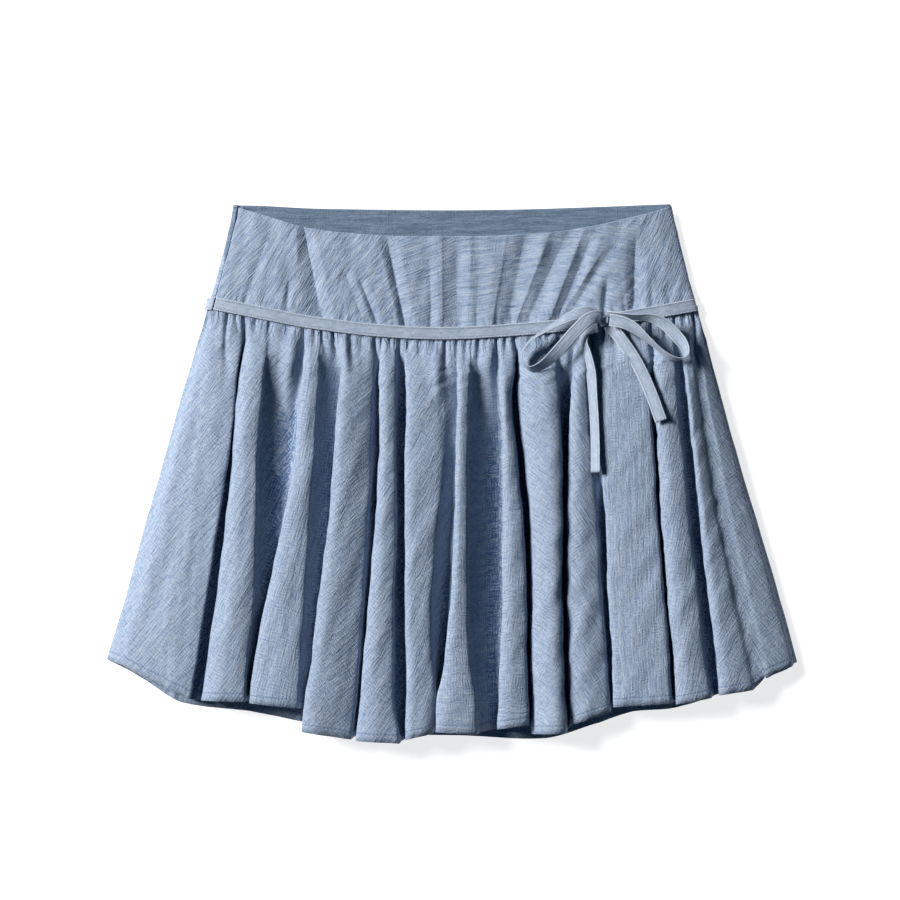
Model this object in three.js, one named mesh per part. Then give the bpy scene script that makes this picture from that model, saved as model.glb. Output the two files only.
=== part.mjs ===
// Mini skirt laid flat on its back: a front and a back yoke, a very full front and back tier,
// a flat ribbon over the yoke seam, a tied ribbon bow and a closed zip in the left side seam.
// Millimetres. X runs across the skirt, +Y up it toward the waist, +Z up off the surface.
import * as THREE from 'three';

// ---------------------------------------------------------------- driving sizes
const WALL = 1.2;             // thickness of a cloth wall
const TAPE = 1.0;             // thickness of ribbon and of zip tape
const SEAM_GAP = 0.4;         // air between two pieces that are sewn together
const RIBBON_WIDTH = 9.5;     // width of the ribbon on the seam and in the bow
const RIBBON_UP = 0.4;        // the front ribbon's middle lies this far above the seam
const WAIST_RISE = 9.5;       // front waist edge above the back yoke, at centre front
const SEAM_RISE = 8.5;        // front yoke seam above the back, at centre front
const RIBBON_CLEAR = 1.0;     // clear height between the front seam and the ribbon over it
const NARROWEST_GAP = 3.3;    // clear width kept between two neighbouring folds
const BACK_GROOVE = 1.2;      // height of the grooves between the pressed folds of the back
const BACK_LIFT = TAPE + SEAM_GAP + 0.1;   // the back is lifted this much where it lies on its ribbon
const FRONT_EDGE_Z = WALL * 1.5 + 0.6;      // front wall's middle where it meets the back wall
const ZIP_STOP = 2.5;         // the zip tape ends this far above the seam
const ZIP_WIDTH = 5.5;
const ZIP_Z = 3.4;            // height of the zip tape's middle
const SLIT_INSET = 4.2;       // the slit of the zip lies this far in from the left outline

const CLOTH = { color: 0x93a9ca, roughness: 0.92 };
const CLOTH_BACK = { color: 0x8ba1c2, roughness: 0.92 };
const SATIN = { color: 0xaebacf, roughness: 0.6 };
const ZIP = { color: 0x7f93b4, roughness: 0.7 };

// ---------------------------------------------------------------- tables
// Outline of the laid skirt: height up the skirt, then the left and the right edge there.
const OUTLINE = [
  { y: 209, left: -169.5, right: 169.5 },
  { y: 188, left: -173.5, right: 174.5 },
  { y: 150, left: -183, right: 183.5 },
  { y: 125, left: -190, right: 190.5 },
  { y: 104, left: -196.5, right: 197 },
  { y: 57, left: -210, right: 209 },
  { y: 18, left: -221, right: 220 },
  { y: -36, left: -236.5, right: 236 },
  { y: -98, left: -253, right: 254 },
  { y: -145, left: -267.5, right: 267 },
];

// Front waist edge, back waist edge, front seam and back seam: height at each distance across.
const ACROSS = [
  { x: -190, waistFront: 213, waistBack: 208, seamFront: 132.4, seamBack: 131.5 },
  { x: -150, waistFront: 201.5, waistBack: 207.5, seamFront: 124.5, seamBack: 130.5 },
  { x: -112, waistFront: 190, waistBack: 205.5, seamFront: 117, seamBack: 129.5 },
  { x: -60, waistFront: 184.5, waistBack: 204.5, seamFront: 110.5, seamBack: 129 },
  { x: -8, waistFront: 183.5, waistBack: 204, seamFront: 108, seamBack: 128.5 },
  { x: 45, waistFront: 184.5, waistBack: 204.5, seamFront: 110.5, seamBack: 129 },
  { x: 98, waistFront: 189.5, waistBack: 206, seamFront: 115.5, seamBack: 129.5 },
  { x: 150, waistFront: 201, waistBack: 208, seamFront: 123, seamBack: 130 },
  { x: 192, waistFront: 214, waistBack: 209.5, seamFront: 130.6, seamBack: 130.6 },
];

// Levels down the front tier where each fold's edges are set out, and how far the folds have
// grown to their full height there.
const LEVELS = [
  { y: 104, grown: 0.45, floor: 7.7 },
  { y: 81, grown: 0.66, floor: 6.1 },
  { y: 57, grown: 0.82, floor: 5.1 },
  { y: 18, grown: 0.92, floor: 4.5 },
  { y: -36, grown: 0.97, floor: 4.1 },
  { y: -98, grown: 1, floor: 4.1 },
  { y: -145, grown: 1, floor: 4.1 },
  { y: -176, grown: 1, floor: 4.1 },
  { y: -206, grown: 1, floor: 4.1 },
];

// The folds of the front tier, left to right. left and right: the two edges of the fold's top at
// the nine levels. high: its crest at the hem. peak: place of the crest between the edges. brow:
// share of the height missing at the left edge. drop: fall from crest to right edge. lean: where
// the low line to its right lies, 0 at its own edge and 1 at the next fold. up: the low line's
// height over the floor. opens: height up the skirt where the gap to its right begins. run: how
// far down from there it grows to its full depth. hemLeft, hemRight, hemLow: the hem at both
// edges and at the low line.
const FOLDS = [
  { left: [-190, -196, -203, -213, -226, -240, -252, -262, -272],
    right: [-162.5, -164.5, -168, -172, -180, -190, -197, -203, -209],
    high: 20, peak: 0.7, brow: 0.42, drop: 0.5, lean: 0.25, up: 0, opens: 120, run: 38,
    hemLeft: -148, hemRight: -174, hemLow: -175 },
  { left: [-159, -163, -166, -169, -174, -182, -189, -193.5, -197.5],
    right: [-143, -145, -147, -150, -151, -153, -158, -160, -161],
    high: 27, peak: 0.45, brow: 0.36, drop: 2, lean: 0.85, up: 3, opens: 116, run: 60,
    hemLeft: -175, hemRight: -176, hemLow: -174 },
  { left: [-113, -115, -117, -121, -130, -143, -152, -156, -158],
    right: [-102, -103, -104, -106, -110, -114, -117, -119, -120],
    high: 26, peak: 0.45, brow: 0.2, drop: 2, lean: 0.9, up: 3, opens: 114, run: 38,
    hemLeft: -177, hemRight: -181, hemLow: -182 },
  { left: [-92, -85, -88, -91, -95, -103, -108, -114, -116],
    right: [-59, -60.5, -61.5, -62.5, -65, -69, -72, -75, -78],
    high: 30, peak: 0.22, brow: 0.14, drop: 7.5, lean: 0.7, up: 0, opens: 104, run: 38,
    hemLeft: -199, hemRight: -205, hemLow: -202 },
  { left: [-54, -56, -56, -56, -59, -64, -68, -71, -74],
    right: [-46, -43, -43, -44, -43, -45, -45, -45, -41],
    high: 28, peak: 0.4, brow: 0.16, drop: 3, lean: 0.75, up: 0, opens: 118, run: 38,
    hemLeft: -206, hemRight: -208, hemLow: -205 },
  { left: [-36, -36, -35, -36, -36, -36, -35, -35, -36],
    right: [-8, -8, -8, -7, -11, -16, -15, -12, -10],
    high: 31, peak: 0.2, brow: 0.12, drop: 3.5, lean: 0.62, up: 0, opens: 120, run: 340,
    hemLeft: -205, hemRight: -200, hemLow: -198 },
  { left: [4, 4, 4, 3, 2, -1, -6, -11, -13],
    right: [16, 14, 13, 12, 12, 12, 14, 18, 20],
    high: 31, peak: 0.35, brow: 0.12, drop: 2.5, lean: 0.82, up: 3, opens: 110, run: 38,
    hemLeft: -199, hemRight: -201, hemLow: -197 },
  { left: [37, 37, 38, 39, 39, 39, 37, 36, 35],
    right: [48, 48, 45, 49, 54, 57, 57, 58, 58],
    high: 28, peak: 0.4, brow: 0.16, drop: 3, lean: 0.6, up: 0, opens: 116, run: 38,
    hemLeft: -197, hemRight: -194, hemLow: -195 },
  { left: [52, 51, 51, 55, 60, 61, 61, 62, 62],
    right: [79, 81, 82, 84, 85, 84, 86, 87, 88],
    high: 30, peak: 0.75, brow: 0.5, drop: 3, lean: 0.6, up: 0, opens: 96, run: 38,
    hemLeft: -201, hemRight: -200, hemLow: -197 },
  { left: [95, 93, 92, 90, 89, 89, 90, 91, 92],
    right: [103, 104, 105, 108, 112, 115, 119, 121, 123],
    high: 24, peak: 0.45, brow: 0.2, drop: 4, lean: 0.6, up: 0, opens: 12, run: 60,
    hemLeft: -194, hemRight: -184, hemLow: -182 },
  { left: [109, 109.5, 110.5, 114, 119, 121, 124, 125, 127],
    right: [149, 151, 152, 155, 158, 163, 167, 169, 171],
    high: 25.5, peak: 0.45, brow: 0.12, drop: 1, lean: 0.6, up: 5, opens: 94, run: 38,
    hemLeft: -180, hemRight: -177, hemLow: -176 },
  { left: [156, 156, 157, 159, 162, 167, 171, 173, 175],
    right: [170, 172, 174, 178, 183, 190, 195, 200, 203],
    high: 26, peak: 0.4, brow: 0.2, drop: 3.5, lean: 0.55, up: 4, opens: 114, run: 38,
    hemLeft: -178, hemRight: -173, hemLow: -171 },
  { left: [176, 179, 182, 186, 191, 198, 204, 207, 210],
    right: [184, 187, 190, 196, 205, 218, 228, 234, 240],
    high: 24, peak: 0.25, brow: 0.16, drop: 5, lean: 0.5, up: 13, opens: 125, run: 38,
    hemLeft: -171, hemRight: -167, hemLow: -163 },
  { left: [191, 194, 197, 205, 215, 229, 240, 246, 252],
    right: [194, 200, 206, 217, 232, 249, 262, 268, 274],
    high: 15.8, peak: 0.12, brow: 0, drop: 5.5, lean: 0.5, up: 0, opens: 120, run: 38,
    hemLeft: -158, hemRight: -149, hemLow: -147 },
];
const OUTER_HEM = { left: -143.5, right: -146 };

// Grooves between the pressed folds of the back tier: place at the seam and at the hem.
const BACK_GROOVES = [
  { top: -160, hem: -215, wide: 7 },
  { top: -128, hem: -164, wide: 8 },
  { top: -92, hem: -118, wide: 6 },
  { top: -55, hem: -66, wide: 9 },
  { top: -20, hem: -24, wide: 7 },
  { top: 22, hem: 19, wide: 8 },
  { top: 58, hem: 72, wide: 6 },
  { top: 96, hem: 116, wide: 9 },
  { top: 132, hem: 166, wide: 7 },
  { top: 163, hem: 218, wide: 7 },
];

// Hem of the back tier, which shows below the front hem in three places.
const HEM_BACK = [
  { x: -268, y: -144 },
  { x: -240, y: -157 },
  { x: -203, y: -177 },
  { x: -150, y: -184 },
  { x: -116, y: -191 },
  { x: -60, y: -201 },
  { x: 10, y: -203 },
  { x: 70, y: -205 },
  { x: 110, y: -193 },
  { x: 135, y: -184.5 },
  { x: 173, y: -180 },
  { x: 230, y: -160 },
  { x: 268, y: -146 },
];

// Creases pressed into the front yoke: the low line from its upper to its lower end, the widths
// of the wall that falls to it and of the wall that climbs away to its right, and the depth.
const YOKE_CREASES = [
  { x1: -142.6, y1: 182.5, x2: -159.7, y2: 134.5, fall: 10, climb: 10, deep: 1.2 },
  { x1: -114.7, y1: 191.8, x2: -100.8, y2: 120.5, fall: 13, climb: 10, deep: 3.2 },
  { x1: -84.5, y1: 160.8, x2: -72.9, y2: 129.8, fall: 10, climb: 9, deep: 1.2 },
  { x1: -49.6, y1: 178.6, x2: -36.4, y2: 115, fall: 9, climb: 10, deep: 3 },
  { x1: -17, y1: 162, x2: -16, y2: 118, fall: 12, climb: 9, deep: 1.8 },
  { x1: 3.2, y1: 184, x2: 3.8, y2: 114.3, fall: 12, climb: 11, deep: 2.3 },
  { x1: 57, y1: 186, x2: 42.5, y2: 118, fall: 12, climb: 16, deep: 3 },
  { x1: 89, y1: 186, x2: 58, y2: 118, fall: 12, climb: 13, deep: 3 },
  { x1: 110, y1: 188, x2: 82, y2: 120, fall: 9, climb: 10, deep: 2 },
  { x1: 142, y1: 178.6, x2: 140.4, y2: 125.2, fall: 11, climb: 10, deep: 2.8 },
];

// Ribbon runs of the bow: middle line, and the turn of the ribbon's face about that line
// in degrees, 0 lying flat and 90 standing on its edge.
const LOOP_LEFT = [
  { x: 113.2, y: 121.5, z: 16.6, turn: 20 },
  { x: 103, y: 124.5, z: 19.6, turn: 15 },
  { x: 92, y: 121.5, z: 22, turn: 40 },
  { x: 83, y: 117, z: 23, turn: 58 },
  { x: 72, y: 110.5, z: 24, turn: 74 },
  { x: 60.5, y: 103, z: 25, turn: 82 },
  { x: 54, y: 94, z: 26, turn: 86 },
  { x: 54.5, y: 86, z: 27, turn: 84 },
  { x: 61, y: 80.5, z: 27.5, turn: 66 },
  { x: 72, y: 85, z: 28, turn: 40 },
  { x: 83.5, y: 96.5, z: 28.6, turn: 12 },
  { x: 94.5, y: 109, z: 28.4, turn: 0 },
  { x: 103.5, y: 118, z: 26.8, turn: -4 },
  { x: 110, y: 121, z: 24.6, turn: 0 },
  { x: 115.2, y: 120.6, z: 21.8, turn: 4 },
];
const LOOP_RIGHT = [
  { x: 120.5, y: 121.5, z: 17, turn: 30 },
  { x: 130, y: 121.5, z: 20.5, turn: 62 },
  { x: 142, y: 120.5, z: 22, turn: 66 },
  { x: 154, y: 119.5, z: 23, turn: 46 },
  { x: 164.5, y: 114.5, z: 24, turn: 20 },
  { x: 173, y: 106, z: 25, turn: 15 },
  { x: 178.5, y: 98.5, z: 26, turn: 40 },
  { x: 180, y: 92, z: 27, turn: 70 },
  { x: 175, y: 88.5, z: 27.5, turn: 100 },
  { x: 167, y: 90.5, z: 27.5, turn: 112 },
  { x: 158, y: 97.5, z: 27, turn: 108 },
  { x: 149.5, y: 105, z: 26, turn: 120 },
  { x: 141, y: 112, z: 25, turn: 145 },
  { x: 132, y: 116.5, z: 24, turn: 165 },
  { x: 121.5, y: 118.5, z: 21.2, turn: 165 },
];
const TAIL_LEFT = [
  { x: 112.8, y: 113.4, z: 14.1, turn: 5 },
  { x: 107.5, y: 112.6, z: 16.4, turn: 12 },
  { x: 102.5, y: 108.5, z: 19.4, turn: 35 },
  { x: 101.6, y: 100.5, z: 21.9, turn: 58 },
  { x: 103.8, y: 93, z: 23, turn: 50 },
  { x: 107, y: 78, z: 23.9, turn: 40 },
  { x: 108.4, y: 60, z: 24.1, turn: 46 },
  { x: 109.6, y: 41, z: 24.7, turn: 46 },
  { x: 110.2, y: 22, z: 25.9, turn: 46 },
  { x: 110.2, y: 1, z: 27.1, turn: 46 },
];
const TAIL_RIGHT = [
  { x: 121.2, y: 115, z: 13.8, turn: 5 },
  { x: 129.5, y: 105, z: 17, turn: 5 },
  { x: 142.5, y: 85.5, z: 21.5, turn: 4 },
  { x: 152.5, y: 64, z: 25, turn: 8 },
  { x: 161, y: 40.5, z: 28, turn: 10 },
];
const KNOT = { x: 116.9, y: 119, long: 6, wide: 9.6, high: 7.6 };

// ---------------------------------------------------------------- small helpers
const mix = (a, b, t) => a + (b - a) * t;
const clamp = (v, lo, hi) => Math.min(hi, Math.max(lo, v));

function ramp(t) {
  const s = clamp(t, 0, 1);
  return s * s * (3 - 2 * s);
}

function catmull(a, b, c, d, t) {
  const m1 = (c - a) / 2;
  const m2 = (d - b) / 2;
  const t2 = t * t;
  const t3 = t2 * t;
  return (2 * t3 - 3 * t2 + 1) * b + (t3 - 2 * t2 + t) * m1
    + (3 * t2 - 2 * t3) * c + (t3 - t2) * m2;
}

// Smooth curve through list at the whole numbers, straight on beyond both ends.
function through(list, t) {
  const last = list.length - 1;
  const i = clamp(Math.floor(t), 0, last - 1);
  const before = i > 0 ? list[i - 1] : 2 * list[0] - list[1];
  const after = i < last - 1 ? list[i + 2] : 2 * list[last] - list[last - 1];
  return catmull(before, list[i], list[i + 1], after, t - i);
}

// Place of value in an evenly or unevenly rising or falling list, as a running row number.
function rowOf(list, value) {
  const falling = list[0] > list[list.length - 1];
  const key = falling ? list.map((v) => -v) : list;
  const wanted = falling ? -value : value;
  let i = 0;
  while (i < key.length - 2 && wanted > key[i + 1]) i += 1;
  return i + (wanted - key[i]) / (key[i + 1] - key[i]);
}

// Column of a table at a place given in another column, with straight run-out at the ends.
function look(table, keyColumn, column, value) {
  const row = rowOf(table.map((r) => r[keyColumn]), value);
  const values = table.map((r) => r[column]);
  const last = values.length - 1;
  if (row < 0) return values[0] + row * (values[1] - values[0]);
  if (row > last) return values[last] + (row - last) * (values[last] - values[last - 1]);
  return through(values, row);
}

const outline = (side, y) => look(OUTLINE, 'y', side, y);
const across = (column, x) => look(ACROSS, 'x', column, x);

function atLevel(values, y) {
  const row = rowOf(LEVELS.map((r) => r.y), y);
  if (row < 0) return values[0] + row * (values[1] - values[0]) * 0.6;
  return through(values, Math.min(row, values.length - 1));
}

// Rounded rise of the front over the back: 0 at both side edges, 1 in the middle.
function rise(x, y) {
  const middle = (outline('left', y) + outline('right', y)) / 2;
  const half = (outline('right', y) - outline('left', y)) / 2;
  const s = Math.min(1, Math.abs((x - middle) / half));
  return Math.cbrt(1 - s ** 3);
}

// Lift of the back walls over the ribbon that lies beneath them, full within hold of the ribbon.
function backLift(x, y, hold = 0.5) {
  const off = Math.abs(y - across('seamBack', x)) - RIBBON_WIDTH / 2;
  return BACK_LIFT * ramp(1 - (off - hold) / 4);
}

// Middle of the front wall: it lies on the back at both side edges and rises between them.
function frontHeight(x, y, high) {
  const up = rise(x, y);
  return FRONT_EDGE_Z + high * up + backLift(x, y, 2.5) * (1 - up);
}

function seamHeight(x) {
  return frontHeight(x, across('seamFront', x), SEAM_RISE);
}

// ---------------------------------------------------------------- walls from grids of points
function gridNormals(grid) {
  const rows = grid.length;
  const cols = grid[0].length;
  const at = (j, i) => grid[clamp(j, 0, rows - 1)][clamp(i, 0, cols - 1)];
  return grid.map((line, j) => line.map((p, i) => {
    const down = new THREE.Vector3().subVectors(at(j + 1, i), at(j - 1, i)).normalize();
    const sides = [[at(j, i - 1), p], [p, at(j, i + 1)]].filter(([a, b]) => a !== b);
    const faces = sides.map(([a, b]) => {
      const run = new THREE.Vector3().subVectors(b, a);
      return new THREE.Vector3().crossVectors(down, run).normalize();
    });
    const sum = faces.reduce((t, n) => t.add(n), new THREE.Vector3()).normalize();
    const closeness = Math.max(0.7, sum.dot(faces[0]));
    return sum.multiplyScalar(1 / closeness);
  }));
}

function offsetGrid(grid, normals, distance) {
  return grid.map((line, j) => line.map((p, i) => p.clone().addScaledVector(normals[j][i], distance)));
}

// Closed wall between two grids of points; upper lies on the side the normals point to.
function closeWall(upper, lower) {
  const rows = upper.length;
  const cols = upper[0].length;
  const points = [...upper.flat(), ...lower.flat()];
  const top = (j, i) => j * cols + i;
  const bottom = (j, i) => rows * cols + j * cols + i;
  const faces = [];
  const quad = (a, b, c, d) => faces.push(a, b, c, a, c, d);
  for (let j = 0; j < rows - 1; j += 1) {
    for (let i = 0; i < cols - 1; i += 1) {
      quad(top(j, i), top(j + 1, i), top(j + 1, i + 1), top(j, i + 1));
      quad(bottom(j, i), bottom(j, i + 1), bottom(j + 1, i + 1), bottom(j + 1, i));
    }
  }
  for (let i = 0; i < cols - 1; i += 1) {
    quad(top(0, i), top(0, i + 1), bottom(0, i + 1), bottom(0, i));
    quad(top(rows - 1, i + 1), top(rows - 1, i), bottom(rows - 1, i), bottom(rows - 1, i + 1));
  }
  for (let j = 0; j < rows - 1; j += 1) {
    quad(top(j + 1, 0), top(j, 0), bottom(j, 0), bottom(j + 1, 0));
    quad(top(j, cols - 1), top(j + 1, cols - 1), bottom(j + 1, cols - 1), bottom(j, cols - 1));
  }
  return { points, faces };
}

function meshOf(name, look3d, { points, faces }) {
  const geometry = new THREE.BufferGeometry();
  const flat = points.flatMap((p) => [p.x, p.y, p.z]);
  geometry.setAttribute('position', new THREE.Float32BufferAttribute(flat, 3));
  geometry.setIndex(faces);
  geometry.computeVertexNormals();
  const material = new THREE.MeshStandardMaterial({ ...look3d, metalness: 0 });
  const mesh = new THREE.Mesh(geometry, material);
  mesh.name = name;
  return mesh;
}

// A wall of even thickness about the middle surface point(column, row).
function sheet(name, look3d, columns, rows, point, wall) {
  const grid = rows.map((v) => columns.map((u) => point(u, v)));
  const normals = gridNormals(grid);
  const upper = offsetGrid(grid, normals, wall / 2);
  const lower = offsetGrid(grid, normals, -wall / 2);
  return meshOf(name, look3d, closeWall(upper, lower));
}

function steps(count, from = 0, to = 1) {
  return Array.from({ length: count + 1 }, (_, i) => mix(from, to, i / count));
}

// ---------------------------------------------------------------- front tier
const HEM_FLOOR = LEVELS[LEVELS.length - 1].floor;

// Both edges of fold k at height y, kept clear of the next fold.
function foldEdges(k, y) {
  const left = atLevel(FOLDS[k].left, y);
  const right = atLevel(FOLDS[k].right, y);
  if (k === FOLDS.length - 1) return { left, right };
  const next = atLevel(FOLDS[k + 1].left, y);
  return { left, right: Math.min(right, next - NARROWEST_GAP) };
}

// Key points of the section at height y, left to right: the outline, then for each fold its left
// shoulder, its crest, its right shoulder and the low line beside it.
function sectionKeys(y) {
  const grown = atLevel(LEVELS.map((r) => r.grown), y);
  const floor = atLevel(LEVELS.map((r) => r.floor), y);
  const keys = [{ x: outline('left', y), z: FRONT_EDGE_Z }];
  FOLDS.forEach((fold, k) => {
    const edge = foldEdges(k, y);
    const crest = floor + (fold.high - HEM_FLOOR) * grown;
    const body = crest - floor;
    const next = k < FOLDS.length - 1 ? foldEdges(k + 1, y).left : outline('right', y);
    const brink = crest - fold.drop * grown;
    keys.push({ x: edge.left, z: crest - fold.brow * body });
    keys.push({ x: mix(edge.left, edge.right, fold.peak), z: crest });
    keys.push({ x: edge.right, z: brink });
    if (k < FOLDS.length - 1) {
      const opened = ramp((fold.opens - y) / fold.run);
      const low = mix(brink - 2, floor + fold.up * grown, 0.12 + 0.88 * opened);
      keys.push({ x: mix(edge.right, next, fold.lean), z: low });
    }
  });
  keys.push({ x: outline('right', y), z: FRONT_EDGE_Z });
  return keys;
}

function hemKeys() {
  const hems = [OUTER_HEM.left];
  FOLDS.forEach((fold, k) => {
    hems.push(fold.hemLeft, mix(fold.hemLeft, fold.hemRight, fold.peak), fold.hemRight);
    if (k < FOLDS.length - 1) hems.push(fold.hemLow);
  });
  hems.push(OUTER_HEM.right);
  return hems;
}

function tierPoint(u, v) {
  const hem = through(hemKeys(), u);
  let top = 115;
  for (let pass = 0; pass < 3; pass += 1) {
    const xs = sectionKeys(top).map((key) => key.x);
    top = across('seamFront', through(xs, u)) - SEAM_GAP / 2;
  }
  const y = mix(top, hem, v);
  const keys = sectionKeys(y);
  const x = through(keys.map((key) => key.x), u);
  const folded = through(keys.map((key) => key.z), u);
  const down = ramp((top - y - RIBBON_WIDTH / 2) / 30);
  const free = mix(seamHeight(x), folded, down);
  const onEdge = u <= 0 || u >= keys.length - 1;
  const z = onEdge ? FRONT_EDGE_Z + backLift(x, y, 2.5) : free;
  return new THREE.Vector3(x, y, z);
}

function skirtFront() {
  const count = hemKeys().length - 1;
  const columns = steps(count * 2, 0, count);
  const rows = [0, 0.035, 0.09, 0.19, 0.34, 0.52, 0.7, 0.87, 1];
  return sheet('skirt_front', CLOTH, columns, rows, tierPoint, WALL);
}

// ---------------------------------------------------------------- yoke
function creaseDepth(x, y) {
  return YOKE_CREASES.reduce((sum, c) => {
    const t = (c.y1 - y) / (c.y1 - c.y2);
    const off = x - mix(c.x1, c.x2, t);
    const wall = off < 0 ? c.fall : c.climb;
    const along = ramp(t * 2 + 0.45) * ramp((1.4 - t) * 3);
    return sum + c.deep * ramp(1 - Math.abs(off) / wall) * along;
  }, 0);
}

function yokeFrontPoint(u, v) {
  const guess = mix(-185, 185, u);
  const y0 = mix(across('waistFront', guess), across('seamFront', guess), v);
  const slit = outline('left', y0) + SLIT_INSET + 0.5;
  const x = mix(slit, outline('right', y0) - 0.2, u);
  const y = mix(across('waistFront', x), across('seamFront', x) + SEAM_GAP / 2, v);
  const high = mix(WAIST_RISE, SEAM_RISE, ramp(v));
  const settle = ramp((1 - v) * 6);
  const z = frontHeight(x, y, high) - creaseDepth(x, y) * settle;
  return new THREE.Vector3(x, y, z);
}

function yokeFront() {
  const columns = steps(64);
  const rows = [0, 0.25, 0.5, 0.75, 0.92, 1];
  return sheet('yoke_front', CLOTH, columns, rows, yokeFrontPoint, WALL);
}

// The back yoke rolls round the left side and comes up to the slit of the zip.
const SIDE_ROLL = [
  { inset: 4.0, z: 5.7 },
  { inset: 2.2, z: 4.9 },
  { inset: 0.9, z: 3.6 },
  { inset: 0.6, z: 2.3 },
  { inset: 1.4, z: 1.2 },
  { inset: 3.4, z: 0.6 },
];

function yokeBackPoint(u, v) {
  const roll = SIDE_ROLL.length;
  if (u < roll) {
    const turn = SIDE_ROLL[u];
    const x0 = -180;
    const y = mix(across('waistBack', x0), across('seamFront', x0 - 7) + SEAM_GAP, v);
    const x = outline('left', y) + turn.inset;
    const lift = backLift(x, y) * clamp((roll - 1 - u) / -roll + 1, 0, 1);
    return new THREE.Vector3(x, y, turn.z + lift * (turn.z < 3 ? 1 : 0.5));
  }
  const s = (u - roll + 1) / 12;
  const guess = mix(-185, 185, s);
  const y0 = mix(across('waistBack', guess), across('seamBack', guess), v);
  const x = mix(outline('left', y0) + 3.4, outline('right', y0) - 0.3, s);
  const y = mix(across('waistBack', x), across('seamBack', x) + SEAM_GAP / 2, v);
  return new THREE.Vector3(x, y, WALL / 2 + backLift(x, y));
}

function yokeBack() {
  const columns = Array.from({ length: SIDE_ROLL.length + 12 }, (_, i) => i);
  const rows = [0, 0.35, 0.7, 0.86, 0.935, 1];
  return sheet('yoke_back', CLOTH_BACK, columns, rows, yokeBackPoint, WALL);
}

// ---------------------------------------------------------------- back tier
function backKeys() {
  const keys = [{ top: -190, hem: -268, z: 0 }];
  BACK_GROOVES.forEach((g) => {
    [[-0.5, 0], [-0.16, 1], [0.16, 1], [0.5, 0]].forEach(([off, high]) => {
      keys.push({ top: g.top + off * g.wide, hem: g.hem + off * g.wide, z: high * BACK_GROOVE });
    });
  });
  keys.push({ top: 190.5, hem: 268, z: 0 });
  return keys;
}

function tierBackPoint(u, v) {
  const keys = backKeys();
  const key = keys[u];
  const last = keys.length - 1;
  const side = u === 0 ? 'left' : 'right';
  const seam = across('seamBack', key.top) - SEAM_GAP / 2;
  const hem = look(HEM_BACK, 'x', 'y', key.hem);
  const y = mix(seam, hem, v);
  const x = u === 0 || u === last ? outline(side, y) + (u === 0 ? 0.3 : -0.3) : mix(key.top, key.hem, v);
  const groove = key.z * ramp((seam - y - 10) / 40);
  return new THREE.Vector3(x, y, WALL / 2 + groove + backLift(x, y));
}

function skirtBack() {
  const columns = backKeys().map((_, i) => i);
  const rows = [0, 0.0165, 0.031, 0.09, 0.17, 0.4, 0.7, 1];
  return sheet('skirt_back', CLOTH_BACK, columns, rows, tierBackPoint, WALL);
}

// ---------------------------------------------------------------- ribbon round the seam
function ribbonFrontPoint(u, v) {
  const guess = mix(-186, 189, u);
  const y0 = across('seamFront', guess);
  const slit = outline('left', y0) + SLIT_INSET + 0.7;
  const x0 = mix(slit, outline('right', y0) - 0.2, u);
  const y = across('seamFront', x0) + mix(RIBBON_WIDTH / 2, -RIBBON_WIDTH / 2, v) + RIBBON_UP;
  const flare = ['left', 'right'].map((side) => outline(side, y) - outline(side, y0));
  const x = x0 + mix(flare[0], flare[1], u);
  return new THREE.Vector3(x, y, seamHeight(x0) + WALL / 2 + RIBBON_CLEAR + TAPE / 2);
}

function ribbonFront() {
  return sheet('ribbon_front', SATIN, steps(44), [0, 0.5, 1], ribbonFrontPoint, TAPE);
}

// The ribbon of the back rolls round the left side outside the back yoke.
const RIBBON_ROLL = [
  { inset: 4.0, z: 8.4 },
  { inset: 1.4, z: 7.7 },
  { inset: -0.8, z: 6 },
  { inset: -2, z: 3.9 },
  { inset: -2, z: 1.7 },
  { inset: -0.3, z: 0.55 },
];

function ribbonBackPoint(u, v) {
  const drop = mix(RIBBON_WIDTH / 2, -RIBBON_WIDTH / 2, v);
  if (u < RIBBON_ROLL.length) {
    const turn = RIBBON_ROLL[u];
    const y = across('seamBack', -186) + drop;
    return new THREE.Vector3(outline('left', y) + turn.inset, y, turn.z);
  }
  const s = (u - RIBBON_ROLL.length + 1) / 14;
  const x = mix(-185, outline('right', 131) - 0.5, s);
  return new THREE.Vector3(x, across('seamBack', x) + drop, TAPE / 2);
}

function ribbonBack() {
  const columns = Array.from({ length: RIBBON_ROLL.length + 14 }, (_, i) => i);
  return sheet('ribbon_back', SATIN, columns, [0, 0.5, 1], ribbonBackPoint, TAPE);
}

// ---------------------------------------------------------------- zip
function zipPoint(u, v) {
  const y = mix(across('waistBack', -180) - 1, across('seamFront', -186) + ZIP_STOP, v);
  const x = outline('left', y) + SLIT_INSET + mix(-1.2, ZIP_WIDTH - 1.2, u);
  return new THREE.Vector3(x, y, ZIP_Z + 0.35 * backLift(x, y));
}

function sideZip() {
  return sheet('side_zip', ZIP, steps(2), steps(6), zipPoint, 0.9);
}

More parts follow.
